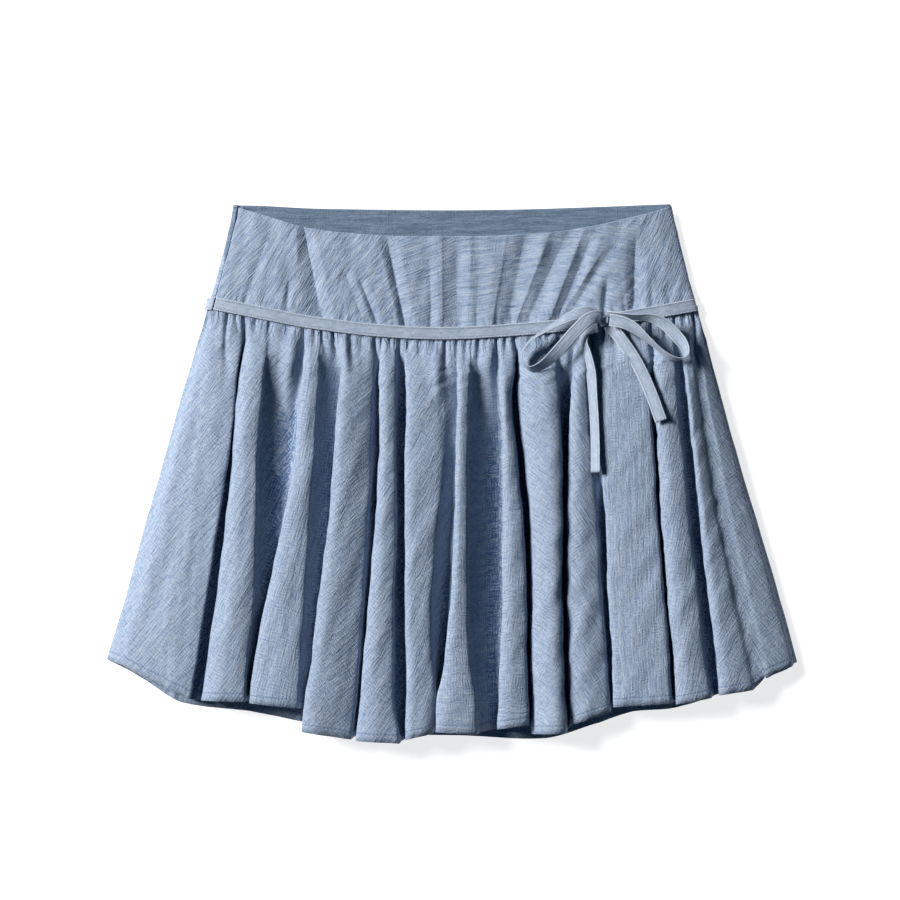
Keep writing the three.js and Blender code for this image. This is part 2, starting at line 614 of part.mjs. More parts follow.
// ---------------------------------------------------------------- bow
// A ribbon along a table of rows, its width turned about the middle line by each row's angle.
function strip(name, table, perRow) {
  const count = (table.length - 1) * perRow;
  const column = (key, t) => through(table.map((r) => r[key]), t);
  const middle = (t) => new THREE.Vector3(column('x', t), column('y', t), column('z', t));
  const point = (v, t) => {
    const ahead = middle(Math.min(t + 0.05, table.length - 1));
    const back = middle(Math.max(t - 0.05, 0));
    const run = ahead.sub(back).normalize();
    const level = new THREE.Vector3(run.y, -run.x, 0).normalize();
    const upright = new THREE.Vector3().crossVectors(run, level).normalize();
    const angle = THREE.MathUtils.degToRad(column('turn', t));
    const width = level.multiplyScalar(Math.cos(angle)).addScaledVector(upright, Math.sin(angle));
    return middle(t).addScaledVector(width, (v - 0.5) * RIBBON_WIDTH);
  };
  const rows = steps(count, 0, table.length - 1);
  return sheet(name, SATIN, [0, 1], rows, point, TAPE);
}

function bowKnot() {
  const seat = seamHeight(KNOT.x) + WALL / 2 + RIBBON_CLEAR + TAPE + SEAM_GAP;
  const around = 14;
  const rings = [[0, 0.62], [0.12, 0.88], [0.5, 1], [0.88, 0.88], [1, 0.62]];
  const centre = new THREE.Vector3(KNOT.x, KNOT.y, seat + KNOT.high / 2);
  const points = [];
  rings.forEach(([t, size]) => {
    for (let i = 0; i < around; i += 1) {
      const a = (i / around) * Math.PI * 2;
      const y = Math.cos(a) * size * KNOT.wide / 2;
      const z = Math.sin(a) * size * KNOT.high / 2;
      points.push(new THREE.Vector3((t - 0.5) * KNOT.long, y, z).add(centre));
    }
  });
  const faces = [];
  const at = (r, i) => r * around + (i % around);
  for (let r = 0; r < rings.length - 1; r += 1) {
    for (let i = 0; i < around; i += 1) {
      faces.push(at(r, i), at(r + 1, i + 1), at(r + 1, i));
      faces.push(at(r, i), at(r, i + 1), at(r + 1, i + 1));
    }
  }
  for (let i = 1; i < around - 1; i += 1) {
    faces.push(at(0, 0), at(0, i + 1), at(0, i));
    faces.push(at(rings.length - 1, 0), at(rings.length - 1, i), at(rings.length - 1, i + 1));
  }
  return meshOf('bow_knot', SATIN, { points, faces });
}

// ---------------------------------------------------------------- the skirt
const skirt = new THREE.Group();
skirt.name = 'mini_skirt';
skirt.add(
  yokeFront(),
  yokeBack(),
  skirtFront(),
  skirtBack(),
  ribbonFront(),
  ribbonBack(),
  sideZip(),
  bowKnot(),
  strip('bow_loop_left', LOOP_LEFT, 2),
  strip('bow_loop_right', LOOP_RIGHT, 2),
  strip('bow_tail_left', TAIL_LEFT, 2),
  strip('bow_tail_right', TAIL_RIGHT, 2),
);

export default skirt;
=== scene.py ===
# %% [markdown]
# # A mini skirt, laid flat
# A crinkled cotton mini skirt: a smooth dipped yoke, a very full tier gathered on to it, a flat
# ribbon over the seam and a tied bow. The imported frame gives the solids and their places, and
# this lesson adds what they can't hold: thin cloth, small tucks, weave, stitches and light.

# %% Tools and the fixed frame
import math

import bpy
import numpy as np
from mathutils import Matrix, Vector


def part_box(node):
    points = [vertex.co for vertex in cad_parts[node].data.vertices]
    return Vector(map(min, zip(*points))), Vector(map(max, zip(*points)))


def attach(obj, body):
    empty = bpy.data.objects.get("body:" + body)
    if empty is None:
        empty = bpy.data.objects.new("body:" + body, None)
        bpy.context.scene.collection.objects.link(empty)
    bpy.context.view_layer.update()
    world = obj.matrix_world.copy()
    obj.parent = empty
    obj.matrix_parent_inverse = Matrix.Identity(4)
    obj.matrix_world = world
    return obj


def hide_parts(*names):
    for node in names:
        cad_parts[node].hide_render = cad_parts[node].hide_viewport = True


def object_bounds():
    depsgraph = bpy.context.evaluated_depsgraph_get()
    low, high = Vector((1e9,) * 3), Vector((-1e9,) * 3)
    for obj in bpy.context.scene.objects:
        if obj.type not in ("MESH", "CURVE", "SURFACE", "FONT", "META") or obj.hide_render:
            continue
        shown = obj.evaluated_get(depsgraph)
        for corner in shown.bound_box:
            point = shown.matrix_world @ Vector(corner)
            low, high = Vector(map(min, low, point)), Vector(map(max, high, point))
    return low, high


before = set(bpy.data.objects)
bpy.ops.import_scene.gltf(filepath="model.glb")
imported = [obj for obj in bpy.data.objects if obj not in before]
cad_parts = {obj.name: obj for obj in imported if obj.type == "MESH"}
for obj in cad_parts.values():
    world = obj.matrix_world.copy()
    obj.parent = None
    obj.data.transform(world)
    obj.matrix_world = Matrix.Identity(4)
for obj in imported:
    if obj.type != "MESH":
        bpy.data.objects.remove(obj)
cad_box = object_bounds()
MM = 0.001
low, high = (np.array(corner) for corner in cad_box)
print("skirt on the surface, mm:", np.round((high - low) / MM, 1))

# %% [markdown]
# ## Tables instead of point lists
# A garment is easiest to describe the way a cutter marks it: a few levels down the cloth, and at
# each level where every fold begins and ends. Each table has named columns and one row for each
# place or fold, in mm, and smooth curves work out the rest.


# %% Reading a small table
def table(names, text):
    """Rows of numbers under named columns, as one array for each name."""
    rows = [[float(word) for word in line.split()] for line in text.strip().splitlines()]
    return dict(zip(names.split(), np.array(rows).T))


OUTLINE = table("y left right", """
   209 -169.5 169.5
   188 -173.5 174.5
   150 -183   183.5
   125 -190   190.5
   104 -196.5 197
    57 -210   209
    18 -221   220
   -36 -236.5 236
   -98 -253   254
  -145 -267.5 267
""")
ACROSS = table("x waist_front waist_back seam_front seam_back", """
  -190 213   208   132.4 131.5
  -150 201.5 207.5 124.5 130.5
  -112 190   205.5 117   129.5
   -60 184.5 204.5 110.5 129
    -8 183.5 204   108   128.5
    45 184.5 204.5 110.5 129
    98 189.5 206   115.5 129.5
   150 201   208   123   130
   192 214   209.5 130.6 130.6
""")
LEVELS = table("y grown floor", """
   104 0.45 7.0
    81 0.66 5.4
    57 0.82 4.4
    18 0.92 3.8
   -36 0.97 3.4
   -98 1.00 3.4
  -145 1.00 3.4
  -176 1.00 3.4
  -206 1.00 3.4
""")

# %% The folds of the front tier
LEVEL_NAMES = "l104 l81 l57 l18 l-36 l-98 l-145 l-176 l-206"
FOLD_LEFT = table(LEVEL_NAMES, """
  -190 -196   -203   -213 -226 -240 -252 -262   -272
  -159 -163   -166   -169 -174 -182 -189 -193.5 -197.5
  -113 -115   -117   -121 -130 -143 -152 -156   -158
   -92  -85    -88    -91  -95 -103 -108 -114   -116
   -54  -56    -56    -56  -59  -64  -68  -71    -74
   -36  -36    -35    -36  -36  -36  -35  -35    -36
     4    4      4      3    2   -1   -6  -11    -13
    37   37     38     39   39   39   37   36     35
    52   51     51     55   60   61   61   62     62
    95   93     92     90   89   89   90   91     92
   109  109.5  110.5  114  119  121  124  125    127
   156  156    157    159  162  167  171  173    175
   176  179    182    186  191  198  204  207    210
   191  194    197    205  215  229  240  246    252
""")
FOLD_RIGHT = table(LEVEL_NAMES, """
  -162.5 -164.5 -168   -172   -180 -190 -197 -203 -209
  -143   -145   -147   -150   -151 -153 -158 -160 -161
  -102   -103   -104   -106   -110 -114 -117 -119 -120
   -59    -60.5  -61.5  -62.5  -65  -69  -72  -75  -78
   -46    -43    -43    -44    -43  -45  -45  -45  -41
    -8     -8     -8     -7    -11  -16  -15  -12  -10
    16     14     13     12     12   12   14   18   20
    48     48     45     49     54   57   57   58   58
    79     81     82     84     85   84   86   87   88
   103    104    105    108    112  115  119  121  123
   149    151    152    155    158  163  167  169  171
   170    172    174    178    183  190  195  200  203
   184    187    190    196    205  218  228  234  240
   194    200    206    217    232  249  262  268  274
""")
# high: crest at the hem. peak: place of the crest between the edges. brow: share of the height
# missing at the left edge. drop: fall from crest to right edge. steep: share of the flank that
# falls right at the edge, and over 0.95 the edge overhangs. lean: place of the low line, 0 at its
# own edge and 1 at the next fold. up: low line over the floor. opens: height where the gap
# begins. run: how far down it grows to its full depth. tuck: overhang of the left edge. hem_*:
# the hem at the left edge, right edge and low line. grain: turn of the weave.
FORM_NAMES = "high peak brow drop steep lean up opens run tuck hem_left hem_right hem_low grain"
FOLD_FORM = table(FORM_NAMES, """
  20   0.70 0.42 0.5 0.97 0.25  0 120  38  0.5 -148 -174 -175  58
  27   0.45 0.36 2.0 0.50 0.85  3 116  60  2.4 -175 -176 -174  64
  26   0.45 0.20 2.0 0.36 0.90  3 114  38  1.5 -177 -181 -182  82
  30   0.22 0.14 7.5 0.45 0.70  0 104  38  3.6 -199 -205 -202  48
  28   0.40 0.16 3.0 0.75 0.75  0 118  38  2.5 -206 -208 -205  55
  31   0.20 0.12 3.5 0.42 0.62  0 120 340  2.0 -205 -200 -198  60
  31   0.35 0.12 2.5 0.32 0.82  3 110  38  2.5 -199 -201 -197   4
  28   0.40 0.16 3.0 0.65 0.60  0 116  38  3.0 -197 -194 -195  -6
  30   0.75 0.50 3.0 0.75 0.60  0  96  38  1.0 -201 -200 -197 -40
  24   0.45 0.20 4.0 0.60 0.60  0  12  60  1.0 -194 -184 -182 -58
  25.5 0.45 0.12 1.0 0.50 0.60  5  94  38  1.0 -180 -177 -176  88
  26   0.40 0.20 3.5 0.75 0.55  4 114  38  1.5 -178 -173 -171  72
  24   0.25 0.16 5.0 0.70 0.50 13 125  38  1.5 -171 -167 -163  50
  15.8 0.12 0.00 5.5 0.30 0.50  0 120  38 -2.0 -158 -149 -147 -62
""")
OUTER_HEM = (-143.5, -146.0)
NARROWEST_GAP = 2.2
FOLDS = len(FOLD_FORM["high"])
print("folds on the front tier:", FOLDS)

# %% [markdown]
# ## Sections and smooth curves
# A cloth section runs up over each fold and down into the gap beside it, and may lean back under
# an edge, so a height map won't do. Each section is a list of key points joined by a centripetal
# Catmull-Rom curve, which rounds tight corners without swinging wide of them.


# %% Curves through table rows
def hermite(start, end, leaving, arriving, s):
    """Smooth way from start to end with a slope at each; s runs from 0 to 1."""
    return ((2 * s**3 - 3 * s**2 + 1) * start + (s**3 - 2 * s**2 + s) * leaving
            + (3 * s**2 - 2 * s**3) * end + (s**3 - s**2) * arriving)


def through(values, t):
    """Smooth curve through values at whole numbers; straight on beyond both ends."""
    values = np.asarray(values, float)
    t = np.asarray(t, float)
    last = len(values) - 1
    padded = np.concatenate([[2 * values[0] - values[1]], values, [2 * values[-1] - values[-2]]])
    i = np.clip(np.floor(t), 0, last - 1).astype(int)
    a, b, c, d = (padded[i + k] for k in range(4))
    s = np.clip(t - i, 0, 1)
    curve = hermite(b, c, (c - a) / 2, (d - b) / 2, s)
    below, above = np.minimum(t, 0), np.maximum(t - last, 0)
    return curve + below * (values[1] - values[0]) + above * (values[-1] - values[-2])


def row_of(keys, wanted):
    """Running row number of a place in a rising or falling column."""
    keys = np.asarray(keys, float)
    wanted = np.asarray(wanted, float)
    if keys[0] > keys[-1]:
        keys, wanted = -keys, -wanted
    i = np.clip(np.searchsorted(keys, wanted) - 1, 0, len(keys) - 2)
    return i + (wanted - keys[i]) / (keys[i + 1] - keys[i])


def outline(side, y):
    return through(OUTLINE[side], row_of(OUTLINE["y"], y))


def both_sides(y):
    return outline("left", y), outline("right", y)


def across(column, x):
    return through(ACROSS[column], row_of(ACROSS["x"], x))


def mix(a, b, t):
    return a + (b - a) * t


def ramp(t):
    """Smooth step: 0 up to 0, and 1 from 1 on."""
    s = np.clip(t, 0, 1)
    return s * s * (3 - 2 * s)


def bell(t):
    """Smooth bump: 1 at 0, and next to nothing beyond 2 to each side."""
    return np.exp(-t * t)


def even(count):
    return np.linspace(0, 1, count)


def xyz(x, y, z):
    return np.stack(np.broadcast_arrays(x, y, z), -1)


print("yoke depth at centre front, mm:", across("waist_front", 0.0) - across("seam_front", 0.0))


# %% Points along a section by a centripetal curve
def section_points(x, z, counts):
    """x and z hold one row for each level and one column for each key; counts[k] points are
    made between keys k and k + 1."""
    p = np.stack([x, z], axis=-1)
    p = np.concatenate([2 * p[:, :1] - p[:, 1:2], p, 2 * p[:, -1:] - p[:, -2:-1]], axis=1)
    gap = np.maximum(np.linalg.norm(np.diff(p, axis=1), axis=-1), 1e-3) ** 0.5
    columns = []
    for k, count in enumerate(counts):
        p0, p1, p2, p3 = (p[:, k + i] for i in range(4))
        d0, d1, d2 = (gap[:, k + i, None] for i in range(3))
        m1 = (p1 - p0) / d0 - (p2 - p0) / (d0 + d1) + (p2 - p1) / d1
        m2 = (p2 - p1) / d1 - (p3 - p1) / (d1 + d2) + (p3 - p2) / d2
        columns += [hermite(p1, p2, m1 * d1, m2 * d1, s) for s in np.arange(count) / count]
    out = np.stack(columns + [p[:, -2]], axis=1)
    return out[..., 0], out[..., 1]


# %% [markdown]
# ## From a grid of points to a cloth shell
# All the cloth here is made the same way: a grid of points on the middle of the cloth, a UV map
# in metres of cloth so that the weave is never stretched, and a Solidify modifier for the real
# thickness of about half a millimetre.

# %% Grid to mesh
CLOTH_THICK = 0.45
RIBBON_THICK = 0.5
pieces = {}


def new_piece(name, mesh):
    piece = bpy.data.objects.new(name, mesh)
    bpy.context.scene.collection.objects.link(piece)
    pieces[name] = piece
    return piece


def keep_plain(piece):
    """Turns what a piece's modifier makes into the plain mesh of the piece."""
    depsgraph = bpy.context.evaluated_depsgraph_get()
    piece.data = bpy.data.meshes.new_from_object(piece.evaluated_get(depsgraph))
    piece.modifiers.clear()


def grid_mesh(name, points, uv, thick=CLOTH_THICK, flip=False, **maps):
    """A shell from rows x columns x 3 points in mm, half its thickness to each side. uv: the same
    grid, or one pair for each face corner. maps: more UV maps, each with a number for each point
    beside its x: over, the place over a ribbon's width from 0 to 1; seam and hem, the distance
    from each; deep, how far a point lies down between two folds, where the cloth is painted
    darker as shade."""
    rows, cols = points.shape[:2]
    index = np.arange(rows * cols).reshape(rows, cols)
    corners = [index[:-1, :-1], index[1:, :-1], index[1:, 1:], index[:-1, 1:]]
    faces = np.stack([c.ravel() for c in corners], axis=1)
    if flip:
        faces = faces[:, ::-1]
    order = faces.ravel()
    mesh = bpy.data.meshes.new(name)
    mesh.from_pydata((points.reshape(-1, 3) * MM).tolist(), [], faces.tolist())
    if uv.ndim == 3:
        uv = uv.reshape(-1, 2)[order]
    layers = {"cloth": uv * MM}
    for label, place in maps.items():
        place = np.broadcast_to(place, (rows, cols)).ravel()[order]
        layers[label] = np.stack([place, points[..., 0].ravel()[order] * MM], 1)
    for label, pairs in layers.items():
        layer = mesh.uv_layers.new(name=label)
        layer.data.foreach_set("uv", pairs.astype(np.float32).ravel())
    mesh.shade_smooth()
    piece = new_piece(name, mesh)
    solid = piece.modifiers.new("thickness", "SOLIDIFY")
    solid.thickness = thick * MM
    solid.offset = 0
    solid.use_even_offset = False
    keep_plain(piece)
    return piece


# %% Lengths on a grid of points
def steps(points, axis):
    """Distances between neighbours, down the columns (0) or along the rows (1)."""
    return np.linalg.norm(np.diff(points, axis=axis), axis=-1)


def running(lengths, axis=0):
    """Running totals from 0, one for each point again."""
    return np.insert(np.cumsum(lengths, axis=axis), 0, 0, axis=axis)


def plain_uv(points):
    """Distances along the cloth, from the middle column and the first row."""
    u, v = running(steps(points, 1).mean(axis=0)), running(steps(points, 0).mean(axis=1))
    return np.stack(np.meshgrid(u - u[len(u) // 2], v), axis=-1)


def cloth_size(points):
    """Length of the first row, the last row and the middle column, and the area, mm and m2."""
    along, down = steps(points, 1), steps(points, 0)
    a = points[1:, 1:] - points[:-1, :-1]
    b = points[1:, :-1] - points[:-1, 1:]
    area = np.linalg.norm(np.cross(a, b), axis=-1).sum() / 2
    return along[0].sum(), along[-1].sum(), down[:, down.shape[1] // 2].sum(), area * 1e-6

# %% [markdown]
# ## How high the front lies over the back
# A skirt laid down isn't two flat sheets. The front meets the back at both side edges and rises
# between them in a low arch, because the seams are rounded and there is air inside.

# %% Heights of the laid skirt
# In mm. A cut ribbon is RIBBON_CUT wide, and RIBBON_WIDTH where it arches. It lifts the back by
# BACK_LIFT. The slit of the zip lies SLIT_INSET from the left edge.
WALL = 1.2
FRONT_EDGE_Z = WALL * 1.5 + 0.6
WAIST_RISE = 9.5
SEAM_RISE = 8.5
RIBBON_WIDTH = 9.5
HALF_RIBBON = RIBBON_WIDTH / 2
RIBBON_CLEAR = 0.65
BACK_LIFT = 1.4
BACK_Z = 0.3
SLIT_INSET = 4.2
RIBBON_UP = 0.4


def rise(x, y):
    """0 at both side edges, and close to 1 over most of the width."""
    left, right = both_sides(y)
    s = np.clip((x - (left + right) / 2) / ((right - left) / 2), -1, 1)
    return np.maximum(0, 1 - np.abs(s) ** 3) ** (1 / 3)


def back_lift(x, y, hold=0.5):
    """How far the ribbon under the back lifts it."""
    off = np.abs(y - across("seam_back", x)) - HALF_RIBBON
    return BACK_LIFT * ramp(1 - (off - hold) / 4)


def front_height(x, y, height):
    """The front's height where it rises by a given height at its middle."""
    up = rise(x, y)
    return FRONT_EDGE_Z + height * up + back_lift(x, y, 2.5) * (1 - up)


def seam_height(x):
    return front_height(x, across("seam_front", x), SEAM_RISE)


print("seam over the surface at centre front, mm:", round(float(seam_height(np.array(0.0))), 1))

# %% [markdown]
# ## Small tucks at the gathered seam
# Where full cloth is drawn up on a thread it makes sharp little valleys with puffs between them.
# They are uneven, so the deepest are listed one by one in a table. Each is a narrow trough that
# starts at the seam, drifts a little and fades out. Low puffs are ridges of the same kind.

# %% Tucks, short folds and the functions that press them in
TUCKS = table("x drift long deep wide", """
  -173.6 -1.5 28 3.0 1.6
  -167.4  1.5 12 1.5 1.5
  -161.0  1.0 30 3.0 2.0
  -152.0  0.0 10 1.2 2.0
  -141.0  0.0 14 1.4 2.0
  -127.9 -2.0 26 3.0 2.2
  -121.0  1.0 10 1.3 1.5
  -114.7  0.0 22 3.0 1.6
  -106.5  1.0 10 1.4 1.5
  -100.8  2.0 16 2.2 1.6
   -92.2  2.5 20 3.0 1.6
   -85.5  0.0 11 1.6 1.6
   -79.0  1.0 18 3.0 1.6
   -69.8  0.0 12 1.8 1.6
   -59.7  1.5 24 2.8 2.0
   -54.3 -1.0 10 1.6 1.4
   -48.0  1.0 12 1.6 1.4
   -41.0  0.0 30 3.0 2.0
   -33.3 -1.0 10 1.8 1.4
   -24.8  1.0 12 1.6 1.5
   -14.7 -1.0 16 2.5 1.5
    -5.4  0.0 24 2.7 1.8
     3.9  1.0 10 1.6 1.4
    10.9  0.0 14 1.8 1.4
    20.2  0.0 18 2.5 1.6
    27.0  1.0 10 1.5 1.4
    34.1  1.0 24 3.0 1.8
    41.0  1.0 12 1.8 1.4
    48.0  2.5 28 3.0 2.0
    60.5 -1.0 10 1.6 1.4
    69.0  1.0 12 1.6 1.4
    74.4 -1.0 16 2.2 1.5
    83.0  1.0 24 3.0 2.0
    93.0  0.0 12 1.8 1.5
   107.0  3.0 30 3.0 1.8
   117.0 -1.0 18 2.5 1.6
   124.8  1.0 18 2.5 1.6
   135.6  3.0 22 2.7 2.0
   145.7  1.0 14 1.8 1.6
   153.5  2.5 26 3.0 1.8
   165.0  0.0 16 2.2 1.5
   172.0  2.0 14 2.0 1.4
   179.8  1.0 10 1.6 1.4
   186.0  6.0 34 2.8 1.4
""")
SHORT_FOLDS = table("x1 y1 x2 y2 wide high", """
  -124 114 -128 30 5 6.0
   -83 110  -81 74 4 3.5
    28 108   33 24 7 5.0
   -14 104   -9 50 5 3.0
   101 112  103 60 5 3.0
   133 116  138 70 8 2.0
   181 120  190 60 3 2.0
  -174 118 -178 92 4 1.8
""")


def tuck_depth(x, down):
    """Depth of the seam tucks at x, down mm below the ribbon's edge."""
    total = 0.0
    for x0, drift, long, deep, wide in zip(*TUCKS.values()):
        t = np.maximum(down, 0) / long
        line = x0 + drift * t * (1 + 0.6 * np.sin(x0 * 1.7 + t * 3))
        spread = wide * (0.62 + 0.9 * t)
        total += 1.5 * deep * np.exp(-np.abs((x - line) / spread) ** 1.5) * np.exp(-t * t * 0.8)
    rng = np.random.default_rng(23)
    place = -188.0
    while place < 190:
        deep, long, wide, lean = rng.uniform((0.2, 5, 0.45, -0.10), (1.3, 20, 1.0, 0.10))
        t = np.maximum(down, 0) / long
        off = x - place - (lean + place * 0.0008) * down
        total += deep * bell(off / wide) * bell(t)
        place += rng.uniform(1.8, 6.5)
    return total


def ridge_height(x, y, ridges):
    """Height of short soft ridges that fade at both ends."""
    total = 0.0
    for x1, y1, x2, y2, wide, height in zip(*ridges.values()):
        t = (y1 - y) / (y1 - y2)
        line = mix(x1, x2, t)
        total += height * bell((x - line) / wide) * ramp(t * 4) * ramp((1 - t) * 2.2)
    return total


def soft_noise(shape_u, shape_v, seed, waves=22, reach=(14, 60)):
    """Smooth uneven waves over two coordinates, the same on every run."""
    rng = np.random.default_rng(seed)
    total = 0.0
    for _ in range(waves):
        length = rng.uniform(*reach)
        angle = rng.uniform(0, math.tau)
        phase = rng.uniform(0, math.tau)
        slanted = shape_u * math.cos(angle) + shape_v * math.sin(angle)
        total += np.sin(slanted * math.tau / length + phase)
    return total / math.sqrt(waves / 2)


print("tucks along the gathered seam:", len(TUCKS["x"]))

# %% [markdown]
# ## The front tier
# The tier makes the skirt: cloth cut like part of a ring, little wider than the yoke at the seam
# and far wider at the hem. The extra cloth falls in lapped folds. Each one has a crisp left edge
# that overhangs a dark gap, a long top and a flank that falls away to the right. Eight key points
# make one fold, and the gaps between folds hold the rest of the cloth.


# %% Key points of every section
SIDE_KEY, SIDE_KEY_UP = 3, 3.5
FLOOR_AT_HEM = LEVELS["floor"][-1]
OVERHANGS_FROM, OVERHANG = 0.95, -0.8
ABOVE_LEVELS = 0.6
STEP = 1.75


def at_level(values, y):
    """A value at each height; over the first level it goes on at a share of its slope."""
    row = row_of(LEVELS["y"], y)
    above = np.minimum(row, 0) * ABOVE_LEVELS
    return through(values, np.minimum(np.maximum(row, 0) + above, len(values) - 1))


def fold_edges(y):
    """Left and right edge of every fold at each height, kept clear of the next fold."""
    left, right = (np.stack([at_level(fold, y) for fold in zip(*sides.values())], 1)
                   for sides in (FOLD_LEFT, FOLD_RIGHT))
    right[:, :-1] = np.minimum(right[:, :-1], left[:, 1:] - NARROWEST_GAP)
    return left, right


def section_keys(y):
    """Key points across the tier at each height: two at each side edge, and between them eight for
    a fold with the gap after it. The first fold has no overhang, so it has two fewer."""
    left, right = fold_edges(y)
    left_side, right_side = both_sides(y)
    grown = at_level(LEVELS["grown"], y)
    floor = at_level(LEVELS["floor"], y)
    side_z, inner_z = np.full_like(y, FRONT_EDGE_Z), FRONT_EDGE_Z + SIDE_KEY_UP * grown
    keys = [(left_side, side_z), (left_side + SIDE_KEY, inner_z)]
    for k in range(FOLDS):
        form = {name: column[k] for name, column in FOLD_FORM.items()}
        a, b = left[:, k], right[:, k]
        crest = floor + (form["high"] - FLOOR_AT_HEM) * grown
        body = crest - floor
        edge = crest - form["brow"] * body
        brink = crest - form["drop"] * grown
        peak = mix(a, b, form["peak"])
        if k == 0:
            keys.append((a, edge))
        else:
            under = edge - 0.35 * body * min(1, max(0, form["tuck"]))
            keys += [(a + form["tuck"] * grown * 0.6, under), (a, edge),
                     (mix(a, peak, 0.3), mix(edge, crest, 0.62))]
        keys += [(peak, crest), (mix(b, peak, 0.15), mix(brink, crest, 0.2)), (b, brink - 0.04 * body)]
        if k < FOLDS - 1:
            following = left[:, k + 1] + FOLD_FORM["tuck"][k + 1] * grown
            opened = ramp((form["opens"] - y) / form["run"])
            valley = mix(brink - 2, floor + form["up"] * grown, 0.12 + 0.88 * opened)
            back = OVERHANG if form["steep"] > OVERHANGS_FROM else 1
            keys += [(b + back * np.minimum(1.5, 0.2 * (following - b)),
                      mix(brink, valley, form["steep"] * mix(0.55, 1, opened))),
                     (mix(b, following, form["lean"]), valley)]
    keys += [(right_side - SIDE_KEY, inner_z), (right_side, side_z)]
    return (np.stack(values, 1) for values in zip(*keys))


def hem_keys():
    """Height of the hem at each key of a section."""
    hems = [OUTER_HEM[0], OUTER_HEM[0] - 1]
    for k in range(FOLDS):
        a, b, low_line, peak = (FOLD_FORM[n][k] for n in ("hem_left", "hem_right", "hem_low", "peak"))
        crest = mix(a, b, peak)
        hems += [a, crest] if k == 0 else [a + 1.0, a, mix(a, b, peak * 0.3), crest]
        hems += [mix(b, crest, 0.15), b]
        if k < FOLDS - 1:
            hems += [mix(b, low_line, 0.3), low_line]
    hems += [OUTER_HEM[1] - 1, OUTER_HEM[1]]
    return np.array(hems)


# Key 3 is the first crest, and the other crests follow eight keys apart.
crest_keys = 3 + 8 * np.arange(FOLDS)
low_keys = crest_keys[:-1] + 4
level_y = np.arange(142.0, -214.0, -1.0)
key_x, key_z = section_keys(level_y)
key_count = key_x.shape[1]
spans = np.hypot(np.diff(key_x, axis=1), np.diff(key_z, axis=1))[150:].mean(axis=0)
counts = np.maximum(2, np.round(spans / STEP)).astype(int)
fine_x, fine_z = section_points(key_x, key_z, counts)
print("keys in a section:", key_count, " columns of points:", fine_x.shape[1])

# %% The front tier's grid of points
HEM_FOLD = 6.0
SEAM_GAP = 0.3
TIER_DEPTH, NEAR_SEAM = 318, 45
LOWEST_Z = 2.2
columns = fine_x.shape[1]
key_place = np.concatenate([np.arange(c) / c + k for k, c in enumerate(counts)] + [[key_count - 1]])
hem_line = np.interp(key_place, np.arange(key_count), hem_keys())


def at_height(fine, y):
    """Each column's value at that column's own height."""
    place = np.clip(level_y[0] - y, 0, len(level_y) - 1.001)
    i = place.astype(int)
    column = np.arange(columns)
    return fine[i, column] * (1 - (place - i)) + fine[i + 1, column] * (place - i)


top_line = np.full(columns, 115.0)
for _ in range(4):
    top_line = across("seam_front", at_height(fine_x, top_line)) - SEAM_GAP / 2
row_share = np.concatenate([np.linspace(0, NEAR_SEAM, 30) / TIER_DEPTH,
                            np.linspace(NEAR_SEAM / TIER_DEPTH, 1, 51)[1:]])
points = np.zeros((len(row_share), columns, 3))
for j, share in enumerate(row_share):
    y = mix(top_line, hem_line, share)
    x = at_height(fine_x, y)
    below = top_line - y - HALF_RIBBON
    z = mix(seam_height(x), at_height(fine_z, y), ramp(below / 30))
    z -= tuck_depth(x, below) * ramp((below + 3) / 5)
    z += ridge_height(x, y, SHORT_FOLDS) + 0.35 * bell((below - 7) / 6)
    points[j] = np.stack([x, y, z], 1)

# %% Small wrinkles and waves in the front tier
run = running(steps(points, 1), 1)
fall = running(steps(points, 0).mean(axis=1))[:, None]
edge_fade = ramp(np.minimum(run, run[:, -1:] - run) / 12)
left_side, right_side = both_sides(points[..., 1])
calm = 1 - 0.7 * ramp(((points[..., 0] - left_side) / (right_side - left_side) - 0.93) / 0.02)
wrinkle = soft_noise(run, fall * 0.35, 5, reach=(9, 34)) * 0.32 * calm
points[..., 2] += wrinkle * edge_fade * ramp((fall - 12) / 40)
wave = soft_noise(run * 1.4, fall, 6, waves=30, reach=(12, 60))
points[..., 0] += wave * 0.28 * calm * edge_fade * ramp((fall - 10) / 20)
points[..., 2] = np.maximum(points[..., 2], LOWEST_Z)
front_points = points
print("front tier, seam, hem, depth in mm and area in m2:", np.round(cloth_size(points), 3))

# %% [markdown]
# ## The weave follows each fold
# The cloth of a ring-shaped cut turns its threads as it goes round. Folds that lie beside each
# other therefore show threads in different directions, and the turn happens out of sight in the
# gap. Each fold's faces get their own patch of the UV map, turned by the fold's grain.


# %% UV patches, one for each fold
def fold_uv(points, boundaries, crests, grain):
    """One UV pair for each face corner: distance across from the fold's crest and distance down,
    turned by the fold's grain."""
    rows, cols = points.shape[:2]
    across_cloth, down_cloth = running(steps(points, 1), 1), running(steps(points, 0))
    owner = np.searchsorted(boundaries, np.arange(cols - 1), side="right")
    uv = np.zeros((rows - 1, cols - 1, 4, 2))
    for corner, (dj, di) in enumerate(((0, 0), (1, 0), (1, 1), (0, 1))):
        jj, ii = np.meshgrid(np.arange(rows - 1) + dj, np.arange(cols - 1) + di, indexing="ij")
        s = across_cloth[jj, ii] - across_cloth[jj, np.broadcast_to(crests[owner], jj.shape)]
        t = -down_cloth[jj, ii]
        turn = np.radians(grain[owner])[None, :]
        uv[..., corner, 0] = s * np.cos(turn) + t * np.sin(turn) + 400 * owner[None, :]
        uv[..., corner, 1] = -s * np.sin(turn) + t * np.cos(turn)
    return uv.reshape(-1, 2)


